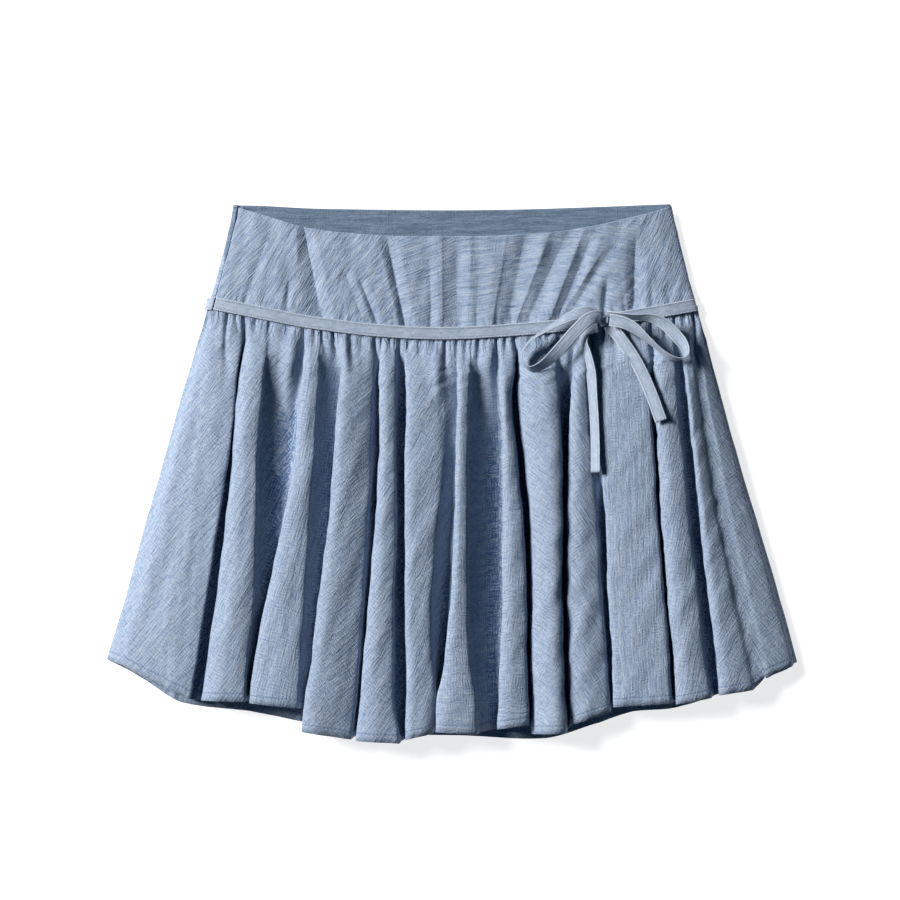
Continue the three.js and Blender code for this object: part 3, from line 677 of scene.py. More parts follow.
starts = running(counts)
uv = fold_uv(points, starts[low_keys], starts[crest_keys], FOLD_FORM["grain"])
under_seam = top_line - points[..., 1] - HALF_RIBBON
row_y = points[..., 1].mean(axis=1)
row_left, row_right = fold_edges(row_y)
among_folds = (points[..., 0] > row_right[:, :1]) & (points[..., 0] < row_left[:, -1:])
# How far each point lies down between the folds; the cloth material paints these places darker, as
# painted shade.
deep = ramp((13 * at_level(LEVELS["grown"], row_y)[:, None] - points[..., 2]) / 7) * among_folds
front_tier = grid_mesh("front_tier", points, uv, seam=under_seam * MM,
                       hem=(points[..., 1] - hem_line) * MM, deep=deep * MM)
print("front tier triangles:", sum(len(p.vertices) - 2 for p in front_tier.data.polygons))

# %% [markdown]
# ## The yoke
# The yoke is a shaped band with no fullness of its own, but the drawn-up seam below it pulls it
# into long shallow creases that fan out from the seam, with one wall steeper than the other. The
# table gives the low line of each crease and how wide its two walls are.

# %% Creases of the front yoke
CREASES = table("x1 y1 x2 y2 fall1 fall2 climb deep sharp", """
  -142.6 182.5 -159.7 134.5  9    9    9 1.4 1.6
  -114.7 191.8 -100.8 120.5  6   17    9 4.0 1.2
  -125.6 151.5 -127.9 126.7  4    4    4 1.8 1.6
   -84.5 160.8  -72.9 129.8  9    9    8 1.4 1.7
   -71.3 150.0  -58.9 119.0  3.5  4.5  6 2.2 1.4
   -49.6 178.6  -36.4 115.0  7.5  5    9 3.8 1.5
   -17.0 162.0  -16.0 118.0 13   10    6 2.2 1.2
     3.2 184.0    3.8 114.3 11   11   13 3.3 0.7
    21.7 177.0   19.0 125.0  6.5  6.5 12 1.6 0.7
    57.0 186.0   42.5 118.0 14   11   17 4.0 0.75
    89.0 186.0   58.0 118.0 13    8   15 3.9 0.75
   110.0 188.0   82.0 120.0  8    6    9 2.7 0.75
   121.5 172.0   91.0 124.0  5    5   10 1.8 0.7
   120.0 150.0  117.8 125.0  4    4    5 1.8 1.0
   142.0 178.6  140.4 125.2  7   11   10 3.4 1.6
   154.2 146.9  155.8 126.7  4    4    4 1.0 1.0
""")
# Patches of the weave: where each begins at the waist and at the seam, and its turn.
YOKE_PATCHES = table("top bottom grain", """
  -170.5 -185    60
  -137.4 -162.4  64
  -114.7  -99.9  48
   -94.3  -66.5  44
   -50.5  -35.0  22
     2.3    3.2   4
    52.6   33.8  -2
    82.6   52.7  -8
   111.8   82.0 -18
   146.0  143.0  55
""")


def crease_depth(x, y):
    """Sharp sets where a crease's left wall is steepest: over 1 at its low line, under 1 at its
    ridge."""
    total = 0.0
    for x1, y1, x2, y2, fall1, fall2, climb, deep, sharp in zip(*CREASES.values()):
        t = (y1 - y) / (y1 - y2)
        off = x - mix(x1, x2, t)
        wall = mix(fall1, fall2, np.clip(t, 0, 1))
        left = np.clip(1 + off / wall, 0, 1) ** sharp
        right = ramp(1 - off / climb) if sharp < 1 else np.clip(1 - off / climb, 0, 1) ** 1.4
        shape = np.where(off < 0, left, right)
        begin = 2 / np.clip(48 / (y1 - y2), 1, 1.7)
        total += deep * shape * ramp(t * begin + 0.45) ** (2.6 - begin * 0.8) * ramp((1.4 - t) * 3)
    return total


def yoke_tuck_depth(x, up):
    """Little tucks just above the ribbon: x across, up mm above its top edge."""
    rng = np.random.default_rng(11)
    total = 0.0
    place = -180.0
    while place < 186:
        deep, long, wide = rng.uniform(0.1, 0.95), rng.uniform(4, 16), rng.uniform(0.8, 2.2)
        lean = rng.uniform(-0.12, 0.12) - place * 0.0012
        deep *= min(1, 0.5 * wide)
        t = np.maximum(up, 0) / long
        total += deep * bell((x - place - lean * up) / wide) * bell(t)
        place += rng.uniform(2.5, 9)
    return total


def drag_lines(x, y, count=260):
    """Thin pulled ridges and troughs that follow the slant of the cloth around them."""
    rng = np.random.default_rng(17)
    middles = (YOKE_PATCHES["top"] + YOKE_PATCHES["bottom"]) / 2
    total = 0.0
    for _ in range(count):
        px = rng.uniform(-186, 186)
        py = mix(across("seam_front", px), across("waist_front", px), rng.uniform(0, 1) ** 1.2)
        slant = math.radians(np.interp(px, middles, YOKE_PATCHES["grain"]) + rng.uniform(-10, 10))
        along = (x - px) * math.cos(slant) + (y - py) * math.sin(slant)
        off = (y - py) * math.cos(slant) - (x - px) * math.sin(slant)
        long, wide, high = rng.uniform(5, 15), rng.uniform(0.8, 1.8), rng.uniform(-0.42, 0.42)
        total += high * np.exp(-(along / long) ** 2 - (off / wide) ** 2)
    return total


# %% The front yoke
yoke_rows, yoke_cols = 90, 470
u, v = np.meshgrid(even(yoke_cols), even(yoke_rows))
ends = np.append(YOKE_PATCHES["top"], 170.0), np.append(YOKE_PATCHES["bottom"], 188.0)
middle = (ends[0] + ends[1]) / 2
share = row_of(middle, mix(middle[0], middle[-1], u))
spot = [np.interp(share, np.arange(len(end)), end) for end in ends]
guess = mix(*spot, v)
inner = ramp(np.minimum(u, 1 - u) / 0.12)
y0 = mix(across("waist_front", guess), across("seam_front", guess), v)
left, right = both_sides(y0)
x = mix(mix(left + SLIT_INSET + 0.4, right - 0.1, u), guess, inner)
gape = 0.8 * bell((v - 0.07) / 0.12) - 0.52 + 0.20 * np.sin(v * 23) * np.sin(v * 9)
x += gape * np.exp(-((x - left) - SLIT_INSET) / 6)
y = mix(across("waist_front", x), across("seam_front", x) + SEAM_GAP / 2, v)
above = y - across("seam_front", x) - HALF_RIBBON
z = front_height(x, y, mix(WAIST_RISE, SEAM_RISE, ramp(v)))
left, right = both_sides(y)
inside = ramp((x - left) / 16) * ramp((right - x) / 14)
creases = crease_depth(x, y) * ramp((above + 6) / 8)
creases += yoke_tuck_depth(x, above) * ramp((above + 3) / 4)
z -= creases * inside
z += soft_noise(x, y * 0.6, 8, reach=(10, 40)) * 0.30 * inside * ramp((above + 2) / 10)
z += drag_lines(x, y) * ramp((above + 4) / 8) * np.clip(inside, 0.3, 1)
yoke_points = xyz(x, y, z)
patches = np.arange(len(YOKE_PATCHES["grain"]))
patch_starts = np.searchsorted(share[0], patches[1:])
patch_middles = np.searchsorted(share[0], patches + 0.5)
yoke_uv = fold_uv(yoke_points, patch_starts, patch_middles, YOKE_PATCHES["grain"])
front_yoke = grid_mesh("front_yoke", yoke_points, yoke_uv, seam=(above + 6) * MM)
print("front yoke, waist, seam, depth, area:", np.round(cloth_size(yoke_points), 3))

# %% [markdown]
# ## The back of the skirt
# The back lies face down and carries the weight, so its folds are pressed: broad flats on the
# surface with narrow grooves between them. At the left side the back yoke rolls round and comes
# up to the slit of the zip.

# %% Back tables
SIDE_ROLL = table("inset z", """
  4.0 5.7
  2.2 4.9
  0.9 3.6
  0.6 2.3
  1.4 1.2
  3.4 0.35
""")
GROOVES = table("top hem wide high", """
  -160 -215 7 1.2
  -128 -164 8 1.0
   -92 -118 6 1.3
   -55  -66 9 1.0
   -20  -24 7 1.2
    22   19 8 1.3
    58   72 6 1.1
    96  116 9 1.2
   132  166 7 1.0
   163  218 7 1.2
""")
HEM_BACK = table("x y", """
  -268 -144
  -240 -157
  -203 -177
  -150 -184
  -116 -191
   -60 -201
    10 -203
    70 -205
   110 -193
   135 -184.5
   173 -180
   230 -160
   268 -146
""")

# %% The back yoke
def roll_round(roll, count):
    """Inset and height at even places along a rolled edge."""
    place = np.linspace(0, len(roll["z"]) - 1, count)
    return through(roll["inset"], place), through(roll["z"], place)


def side_by_side(*parts):
    """One grid from parts that are each given as x, y and z."""
    return np.concatenate([xyz(*part) for part in parts], axis=1)


inset, roll_z = roll_round(SIDE_ROLL, 16)
v = even(50)[:, None]
y_roll = mix(across("waist_back", -180.0), across("seam_front", -187.0) + SEAM_GAP, v)
x_roll = outline("left", y_roll) + inset
z_roll = roll_z + back_lift(x_roll, y_roll) * np.clip((6 - roll_z) / 6, 0.45, 1)
s = even(170)[None, 1:]
guess = mix(-185, 185, s)
y0 = mix(across("waist_back", guess), across("seam_back", guess), v)
left, right = both_sides(y0)
x = mix(left + SIDE_ROLL["inset"][-1], right - 0.3, s)
y = mix(across("waist_back", x), across("seam_back", x) + SEAM_GAP / 2, v)
z = BACK_Z + back_lift(x, y)
z = z + (0.5 + 0.5 * soft_noise(x, y, 21, reach=(20, 90))).clip(0, 2) * 0.25
back_points = side_by_side((x_roll, y_roll, z_roll), (x, y, z))
over_seam = back_points[..., 1] - across("seam_back", back_points[..., 0])
back_yoke = grid_mesh("back_yoke", back_points, plain_uv(back_points), seam=(over_seam + 2) * MM)
print("back yoke, waist, seam, depth, area:", np.round(cloth_size(back_points), 3))

# %% The back tier
BACK_GRAIN = np.array([60, 85, 50, 30, 8, -8, -35, -55, 88, 62, -50], float)
HIGHEST_PRESSED = 1.4
s = even(420)
top_x = mix(-190.0, 190.5, s)
hem_x = mix(-267.7, 267.7, s)
share = even(90)[:, None] ** 1.15
seam_y = across("seam_back", top_x) - SEAM_GAP / 2
hem_y = through(HEM_BACK["y"], row_of(HEM_BACK["x"], hem_x))
y = mix(seam_y, hem_y, share)
left, right = both_sides(y)
left, right = left + 0.3, right - 0.3
x = mix(left, right, s)
z = np.full_like(x, BACK_Z)
for top, hem, wide, height in zip(*GROOVES.values()):
    off = x - mix(top, hem, share) - 1.5 * np.sin(share * 7 + top)
    z += height * bell(off / (0.36 * wide)) * ramp((seam_y - y - 8) / 40)
rng = np.random.default_rng(31)
for place in np.arange(-182, 184, 7.3):
    at = place + rng.uniform(-2, 2)
    t = np.maximum(seam_y - y - HALF_RIBBON, 0) / rng.uniform(8, 26)
    spot = bell((x - at - rng.uniform(-2, 2) * t) / rng.uniform(1.2, 2.0))
    z += rng.uniform(0.7, 1.8) * spot * bell(t) * ramp((seam_y - y - 2) / 4)
edge = ramp(np.minimum(x - left, right - x) / 10)
z = BACK_Z + np.minimum(z - BACK_Z, HIGHEST_PRESSED) * edge + back_lift(x, y)
points = xyz(x, y, z)
grooves = GROOVES["top"]
middles = np.concatenate([[-178], (grooves[1:] + grooves[:-1]) / 2, [178]])
uv = fold_uv(points, np.searchsorted(x[0], grooves), np.searchsorted(x[0], middles), BACK_GRAIN)
back_tier = grid_mesh("back_tier", points, uv, seam=(seam_y - y - HALF_RIBBON) * MM,
                      hem=(y - hem_y) * MM, deep=0.0)
back_tier_points = points
print("back tier, seam, hem, depth, area:", np.round(cloth_size(points), 3))

# %% [markdown]
# ## The ribbon over the seam
# A flat 10 mm ribbon hides the gathered seam, and measures a little less where it arches over
# it. It starts at the slit of the zip, runs round the front, and goes on round the back. Its
# edges are woven a little thicker than its middle.

# %% Ribbon of the front
EDGE_CORD = 0.12


def ribbon_profile(v):
    """Height over the ribbon's width, v from 0 to 1: a slight bead along each edge."""
    return EDGE_CORD * (bell((v - 0.07) / 0.05) + bell((v - 0.93) / 0.05))


u, v = np.meshgrid(even(360), even(15))
y0 = across("seam_front", mix(-186, 189, u))
left0, right0 = both_sides(y0)
x0 = mix(left0 + SLIT_INSET + 0.7, right0 - 0.2, u)
y = across("seam_front", x0) + mix(HALF_RIBBON, -HALF_RIBBON, v) + RIBBON_UP
left, right = both_sides(y)
x = x0 + mix(left - left0, right - right0, u)
z = seam_height(x0) + WALL / 2 + RIBBON_CLEAR + 0.3 + ribbon_profile(v)
z += soft_noise(x, y * 0.3, 41, reach=(12, 50)) * 0.14
ribbon_points = xyz(x, y, z)
seam_ribbon_front = grid_mesh("seam_ribbon_front", ribbon_points, plain_uv(ribbon_points),
                              RIBBON_THICK, over=v)
print("front ribbon, mm:", round(cloth_size(ribbon_points)[0]))

# %% Ribbon of the back
RIBBON_ROLL = table("inset z", """
   4.0 7.9
   1.4 7.2
  -0.8 5.7
  -2.0 3.7
  -2.0 1.6
  -0.3 0.4
""")
inset, z_roll = roll_round(RIBBON_ROLL, 18)
v = even(15)[:, None]
drop = mix(HALF_RIBBON, -HALF_RIBBON, v)
y_roll = across("seam_back", -186.0) + drop
x_roll = outline("left", y_roll) + inset
x = mix(-187.0, outline("right", 131.0) - 0.5, even(200)[None, 1:])
y = across("seam_back", x) + drop
z = RIBBON_ROLL["z"][-1] - ribbon_profile(v)
points = side_by_side((x_roll, y_roll, z_roll), (x, y, z))
seam_ribbon_back = grid_mesh("seam_ribbon_back", points, plain_uv(points), RIBBON_THICK, over=v)
print("back ribbon, mm:", round(cloth_size(points)[0]))

# %% [markdown]
# ## The tied bow
# The bow is one length of the same ribbon. A ribbon keeps its width whatever it does, so each run
# is a strip along a smooth line with a turn about that line: 0 degrees lies flat, 90 stands on
# its edge. The loops twist as they go round, which is why parts of them look thin.

# %% Strips along a table
LOOP_LEFT = table("x y z turn", """
  113.2 121.5 16.6 20
  103   124.5 19.6 15
   92   121.5 22   40
   83   117   23   58
   72   110.5 24   74
   60.5 103   25   82
   54    94   26   86
   54.5  86   27   84
   61    80.5 27.5 66
   72    85   28   40
   83.5  96.5 28.6 12
   94.5 109   28.4  0
  103.5 118   26.8 -4
  110   121   24.6  0
  115.2 120.6 21.8  4
""")
LOOP_RIGHT = table("x y z turn", """
  120.5 121.5 17    30
  130   121.5 20.5  62
  142   120.5 22    66
  154   119.5 23    46
  164.5 114.5 24    20
  173   106   25    15
  178.5  98.5 26    40
  180    92   27    70
  175    88.5 27.5 100
  167    90.5 27.5 112
  158    97.5 27   108
  149.5 105   26   120
  141   112   25   145
  132   116.5 24   165
  121.5 118.5 21.2 165
""")
TAIL_LEFT = table("x y z turn", """
  112.8 113.4 14    5
  107.5 112.6 15.6 12
  102.5 108.5 18   35
  101.6 100.5 20   58
  103.8  93   21.2 50
  107    78   22.2 40
  108.4  60   22.4 46
  109.6  41   23.0 46
  110.2  22   24.2 46
  110.2   1   25.4 46
""")
TAIL_RIGHT = table("x y z turn", """
  121.2 115   13.7  5
  129.5 105   17    5
  142.5  85.5 21.5  4
  152.5  64   25    8
  161    40.5 28   10
""")


STRIP_WIDTH = even(13)


def strip_points(route, rows):
    """Grid of points of a ribbon that runs along a table and turns about its own line."""
    t = np.linspace(0, len(route["x"]) - 1, rows)
    line = np.stack([through(route[k], t) for k in "xyz"], -1)
    run = np.gradient(line, axis=0)
    run /= np.linalg.norm(run, axis=1)[:, None]
    level = np.stack([run[:, 1], -run[:, 0], 0 * t], -1)
    level /= np.linalg.norm(level, axis=1)[:, None]
    upright = np.cross(run, level)
    turn = np.radians(through(route["turn"], t))[:, None]
    width = level * np.cos(turn) + upright * np.sin(turn)
    face = np.cross(width, run)
    v = STRIP_WIDTH
    bow = ribbon_profile(v) - 0.35 * (2 * v - 1) ** 2
    offset = (v - 0.5) * RIBBON_WIDTH
    return line[:, None] + width[:, None] * offset[None, :, None] + face[:, None] * bow[None, :, None]


for name, route, rows in (("loop_left", LOOP_LEFT, 130), ("loop_right", LOOP_RIGHT, 130),
                          ("tail_left", TAIL_LEFT, 90), ("tail_right", TAIL_RIGHT, 70)):
    points = strip_points(route, rows)
    grid_mesh(name, points, plain_uv(points)[..., ::-1], RIBBON_THICK, flip=True, over=STRIP_WIDTH)

# %% [markdown]
# ## The knot
# In the middle the ribbon wraps once round both loops. It is drawn tight, so its width crumples
# into a few folds and it bulges over what it holds. It is a closed band, pinched at its edges.

# %% The wrap of the knot
KNOT_THICK = 0.6
knot_low, knot_high = (np.array(corner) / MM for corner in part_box("bow_knot"))
knot_mid = (knot_low + knot_high) / 2
half_x, half_y, half_z = (knot_high - knot_low) / 2 - (0.4, 0.8, 0.8)
a = np.linspace(0, math.tau, 96)[None, :]
s = np.linspace(-1, 1, 23)[:, None]
pinch = 0.62 + 0.30 * s**2
folds = 0.05 * np.sin(s * 4 + 1.2 * np.sin(a)) + 0.02 * np.sin(s * 9 + a * 2)
size = (pinch + folds) * (0.90 + 0.10 * np.sin(a))
slant = 1.5 * np.sin(a)
points = xyz(knot_mid[0] + s * half_x + slant * 0.6, knot_mid[1] + np.cos(a) * size * half_y,
             knot_mid[2] - 0.6 + np.sin(a) * size * half_z)
knot = grid_mesh("knot", points, plain_uv(points)[..., ::-1], KNOT_THICK, flip=True, over=(s + 1) / 2)
print("knot, mm:", np.round(knot_high - knot_low, 1))

# %% [markdown]
# ## The zip in the left side
# A closed invisible zip shows only as a slit. Behind the slit lies its tape, and along the tape a
# row of small coils. The coils repeat, so Geometry Nodes place them; the same tree makes every
# line of stitches on the skirt.

# %% The zip tape
TAPE_FROM_SLIT = -1.2, 4.3
u, v = np.meshgrid(even(9), even(60))
y = mix(across("waist_back", -180.0) - 1, across("seam_front", -186.0) + 2.5, v)
x = outline("left", y) + SLIT_INSET + mix(*TAPE_FROM_SLIT, u)
z = 4.0 + 0.35 * back_lift(x, y)
points = xyz(x, y, z)
zip_tape = grid_mesh("zip_tape", points, plain_uv(points), RIBBON_THICK)
slit_line = points[:, 3] + np.array([0, 0, 0.55])

# %% [markdown]
# ## Stitches along a line
# A row of stitches is one short thread shape repeated at an even pitch. The tree turns a line into
# evenly spaced points, sets a thread on each, turned along the line, and ends with real geometry
# and a material, so that the result can leave Blender as a plain mesh.


# %% One tree for every row of threads
THREAD_SIZES = "Pitch", "Thread length", "Thread width", "Thread height"


def thread_tree():
    tree = bpy.data.node_groups.new("threads along a line", "GeometryNodeTree")
    sockets = [("Line", "INPUT", "Geometry"), *((name, "INPUT", "Float") for name in THREAD_SIZES),
               ("Finish", "INPUT", "Material"), ("Threads", "OUTPUT", "Geometry")]
    for name, way, kind in sockets:
        tree.interface.new_socket(name, in_out=way, socket_type=f"NodeSocket{kind}")
    kinds = ("NodeGroupInput", "NodeGroupOutput", "GeometryNodeMeshToCurve",
             "GeometryNodeResampleCurve", "GeometryNodeInputTangent",
             "FunctionNodeAlignRotationToVector", "GeometryNodeMeshIcoSphere",
             "ShaderNodeCombineXYZ", "GeometryNodeInstanceOnPoints",
             "GeometryNodeRealizeInstances", "GeometryNodeSetMaterial")
    (given, result, curve, spaced, along, turn, thread, size, place, real,
     finish) = (tree.nodes.new(kind) for kind in kinds)
    spaced.mode = "LENGTH"
    turn.axis = "X"
    thread.inputs["Radius"].default_value = 0.5
    thread.inputs["Subdivisions"].default_value = 1
    for source, out, target, into in (
            (given, "Line", curve, "Mesh"), (curve, "Curve", spaced, "Curve"),
            (given, "Pitch", spaced, "Length"), (along, "Tangent", turn, "Vector"),
            (given, "Thread length", size, "X"), (given, "Thread width", size, "Y"),
            (given, "Thread height", size, "Z"), (spaced, "Curve", place, "Points"),
            (thread, "Mesh", place, "Instance"), (turn, "Rotation", place, "Rotation"),
            (size, "Vector", place, "Scale"), (place, "Instances", real, "Geometry"),
            (real, "Geometry", finish, "Geometry"), (given, "Finish", finish, "Material"),
            (finish, "Geometry", result, "Threads")):
        tree.links.new(source.outputs[out], target.inputs[into])
    return tree


THREADS = thread_tree()


def thread_row(name, lines, sizes, finish):
    """A joined mesh of threads along one or more lines of points; all sizes in mm."""
    verts, edges = [], []
    for line in lines:
        start = len(verts)
        verts += (line * MM).tolist()
        edges += [(i, i + 1) for i in range(start, start + len(line) - 1)]
    mesh = bpy.data.meshes.new(name)
    mesh.from_pydata(verts, edges, [])
    piece = new_piece(name, mesh)
    nodes = piece.modifiers.new("threads", "NODES")
    nodes.node_group = THREADS
    values = {label: size * MM for label, size in zip(THREAD_SIZES, sizes)} | {"Finish": finish}
    for item in THREADS.interface.items_tree:
        if item.name in values:
            nodes[item.identifier] = values[item.name]
    keep_plain(piece)
    piece.data.shade_smooth()
    print(f"{name}: {len(piece.data.polygons)} faces")
    return piece


print("sockets of the thread tree:", len(THREADS.interface.items_tree))

# %% [markdown]
# ## Shader sums as plain expressions
# Node trees are hard to read as boxes and wires. Here a small class wraps a socket, so that sums
# on sockets are written like sums on numbers, and one method makes any other node.

# %% Sockets that can be used in sums
def sum_method(operation, turned=False):
    """A method that makes a math node from a value and what stands beside it."""
    def method(self, other):
        first, second = (other, self) if turned else (self, other)
        node = self.shader.node("ShaderNodeMath", {"operation": operation}, {0: first, 1: second})
        return Value(self.shader, node.outputs[0])
    return method


class Value:
    def __init__(self, shader, socket):
        self.shader, self.socket = shader, socket

    __add__ = sum_method("ADD")
    __sub__ = sum_method("SUBTRACT")
    __rsub__ = sum_method("SUBTRACT", turned=True)
    __mul__ = sum_method("MULTIPLY")
    __pow__ = sum_method("POWER")


class Shader:
    """A material's node tree with short ways to add to it."""

    def __init__(self, name):
        self.material = bpy.data.materials.new(name)
        self.material.use_nodes = True
        self.tree = self.material.node_tree
        self.surface = self.tree.nodes["Principled BSDF"]

    def node(self, kind, settings=None, inputs=None):
        node = self.tree.nodes.new(kind)
        for key, value in (settings or {}).items():
            setattr(node, key, value)
        for key, value in (inputs or {}).items():
            self.feed(node.inputs[key], value)
        return node

    def feed(self, socket, value):
        if isinstance(value, Value):
            self.tree.links.new(value.socket, socket)
        elif isinstance(value, bpy.types.NodeSocket):
            self.tree.links.new(value, socket)
        else:
            socket.default_value = value

    def finish(self, inputs):
        """Sets inputs of the surface and gives the finished material."""
        for key, value in inputs.items():
            self.feed(self.surface.inputs[key], value)
        return self.material

    def place_on(self, uv_map):
        """Both measures of a UV map, in mm."""
        uv = self.node("ShaderNodeUVMap", {"uv_map": uv_map})
        parts = self.node("ShaderNodeSeparateXYZ", None, {0: uv.outputs["UV"]})
        return Value(self, parts.outputs["X"]) * 1000, Value(self, parts.outputs["Y"]) * 1000

    def noise(self, x, y, seed=0.0, detail=2.0, rough=0.5):
        place = self.node("ShaderNodeCombineXYZ", None, {"X": x, "Y": y, "Z": seed})
        made = self.node("ShaderNodeTexNoise", {"noise_dimensions": "3D"},
                         {"Vector": place.outputs[0], "Scale": 1.0, "Detail": detail,
                          "Roughness": rough})
        return Value(self, made.outputs["Fac"])

    def wave(self, distance, period):
        """A smooth wave from 0 to 1 over a distance."""
        turned = self.node("ShaderNodeMath", {"operation": "SINE"}, {0: distance * (math.tau / period)})
        return Value(self, turned.outputs[0]) * 0.5 + 0.5

    def between(self, value, low_end, high_end, to_low=0.0, to_high=1.0):
        made = self.node("ShaderNodeMapRange", {"clamp": True},
                         {"Value": value, "From Min": low_end, "From Max": high_end,
                          "To Min": to_low, "To Max": to_high})
        return Value(self, made.outputs["Result"])

    def colours(self, factor, first, second):
        made = self.node("ShaderNodeMix", {"data_type": "RGBA"}, {0: factor})
        for index, colour in ((6, first), (7, second)):
            self.feed(made.inputs[index], (*colour, 1) if isinstance(colour, tuple) else colour)
        return made.outputs[2]

    def bump(self, height, depth, strength):
        made = self.node("ShaderNodeBump", None,
                         {"Height": height, "Distance": depth * MM, "Strength": strength})
        self.feed(self.surface.inputs["Normal"], made.outputs["Normal"])


# %% [markdown]
# ## Crinkled cotton
# The cloth is a light cotton woven with tight threads, which pull it into short broken ribs a
# little over two millimetres apart, both ways of the cloth. Waves that start and stop give the
# even ribs, stretched noise the uneven ones, and a slow noise bends both. The same heights tint
# the cloth as painted shade: the hollows are painted darker than the raised threads, over what
# the bump shades. The low places between the front tier's folds are painted darker still.

# %% The cloth material
THREAD_PERIOD = 2.3
REGULAR_SHARE = 0.34
# Painted shade in the low places between the folds: how much the weave's contrast grows there and how
# much the tone falls.
VALLEY_SHADE_CONTRAST, VALLEY_SHADE_DARKENING = 2.4, 1.85
GRAIN_SHARE, PUFF_SHARE, LEAST_TONE = 0.26, 0.06, 0.13


def threads(s, along, over, seed):
    """Heights of the threads that run one way: even waves that start and stop, and uneven ones."""
    uneven = s.noise(along * 0.18, over * 1.00, seed, 1.0, 0.5)
    there = s.between(s.noise(along * 0.09, over * 0.30, seed + 40.0), 0.42, 0.60)
    regular = (s.wave(over, THREAD_PERIOD) - 0.5) * there
    return uneven + regular * REGULAR_SHARE


def crinkled_cotton(name, light, dark, cross_share=(0.28, 0.72), streak=0.16, gathers=1.0, hemmed=True):
    """cross_share: least and most share of the cross threads. streak: share of the long crinkles
    in the tone, whose hollows are painted darker as shade. gathers: depth of the fine slits below
    the seam, in the bump and as painted shade in the tone. hemmed: with the stitched line of the
    hem, its groove painted darker as shade, and painted shade in the low places between the folds."""
    s = Shader(name)
    a, b = s.place_on("cloth")
    bend_a = s.noise(a * 0.03, b * 0.03, 3.0) * 4.0
    bend_b = s.noise(a * 0.03, b * 0.03, 9.0) * 4.0
    a, b = a + bend_a, b + bend_b
    ribs = threads(s, a, b, 0.0)
    cross = threads(s, b, a, 5.0)
    share = s.between(s.noise(a * 0.06, b * 0.06, 21.0), 0.38, 0.62, *cross_share)
    weave = ribs * (1 - share) + cross * share
    grain = s.noise(a * 1.3, b * 1.3, 25.0, 1.0, 0.6)
    crinkle = s.noise(a * 0.035, b * 0.32, 11.0, 2.0, 0.6)
    puff = s.noise(a * 0.10, b * 0.10, 15.0, 2.0)
    # The tone rises and falls with the same noises as the bump, so the hollows of the weave and
    # crinkles are painted darker, as painted shade.
    tone = s.between(weave, 0.37, 0.60) * (0.56 - streak) + s.between(crinkle, 0.38, 0.62) * streak
    tone = tone + s.between(grain, 0.40, 0.58) * GRAIN_SHARE + puff * PUFF_SHARE + LEAST_TONE
    away, along = s.place_on("seam")
    drift = s.noise(along * 0.06, away * 0.05, 31.0) * 14
    slit = s.between(s.noise((along + drift) * 0.42, away * 0.02, 27.0, 1.5, 0.6), 0.53, 0.64)
    slit = slit * s.between(away, -3.0, 18.0, 1.0, 0.0) ** 1.4 * gathers
    height = weave * 1.2 + grain * 0.9 + crinkle * 1.6 + puff * 1.2 - slit * 2.0
    # Painted shade: the slits of the gathers are painted darker as well as pressed into the bump.
    tone = tone * (1 - slit * 0.65)
    if hemmed:
        from_hem = s.place_on("hem")[0]
        sewn = s.between(from_hem, HEM_FOLD - 0.7, HEM_FOLD)
        sewn = sewn * s.between(from_hem, HEM_FOLD, HEM_FOLD + 0.9, 1.0, 0.0)
        turned_up = s.between(from_hem, HEM_FOLD + 0.4, HEM_FOLD - 0.4)
        height = height - sewn * 0.9 + turned_up * 0.5
        # Painted shade: the cloth along the hem's sewn groove is painted darker.
        tone = tone * (1 - sewn * 0.45)
        # Painted shade: the low places between the folds are painted darker, and their weave in
        # stronger contrast.
        deep = s.place_on("deep")[0]
        tone = tone + deep * (tone * VALLEY_SHADE_CONTRAST - VALLEY_SHADE_DARKENING)
    s.bump(height, 0.5, 0.85)
    return s.finish({"Base Color": s.colours(tone, dark, light), "Roughness": 0.9,
                     "Specular IOR Level": 0.10, "Sheen Tint": (0.40, 0.66, 1, 1),
                     "Sheen Weight": 0.12, "Sheen Roughness": 0.5})


LIGHT_COTTON, DARK_COTTON = (0.378, 0.434, 0.524), (0.078, 0.142, 0.268)
# The inside of the back yoke, seen through the waist, is much darker than the cotton: partly the duller
# wrong side of the cloth, and partly painted shade of the hollow inside the skirt.
LIGHT_INSIDE_SHADED, DARK_INSIDE_SHADED = (0.190, 0.250, 0.340), (0.045, 0.074, 0.125)
COTTON = crinkled_cotton("crinkled_cotton", LIGHT_COTTON, DARK_COTTON)
DRAWN_COTTON = crinkled_cotton("crinkled_cotton_drawn_up", LIGHT_COTTON, DARK_COTTON, (0.05, 0.45),
                               streak=0.30, gathers=0.3, hemmed=False)
WRONG_SIDE_SHADED = crinkled_cotton("inside_of_the_cotton_painted_shade", LIGHT_INSIDE_SHADED, DARK_INSIDE_SHADED, (0.02, 0.35),
                             streak=0.34, gathers=0.0, hemmed=False)
print("cotton materials:", COTTON.name, DRAWN_COTTON.name, WRONG_SIDE_SHADED.name)

# %% [markdown]
# ## Ribbon, thread and zip
# The ribbon is smooth and a little greyer and paler than the cloth, with a faint cross rib and a
# soft sheen. The thread matches the cloth. The zip tape is plain and darker.

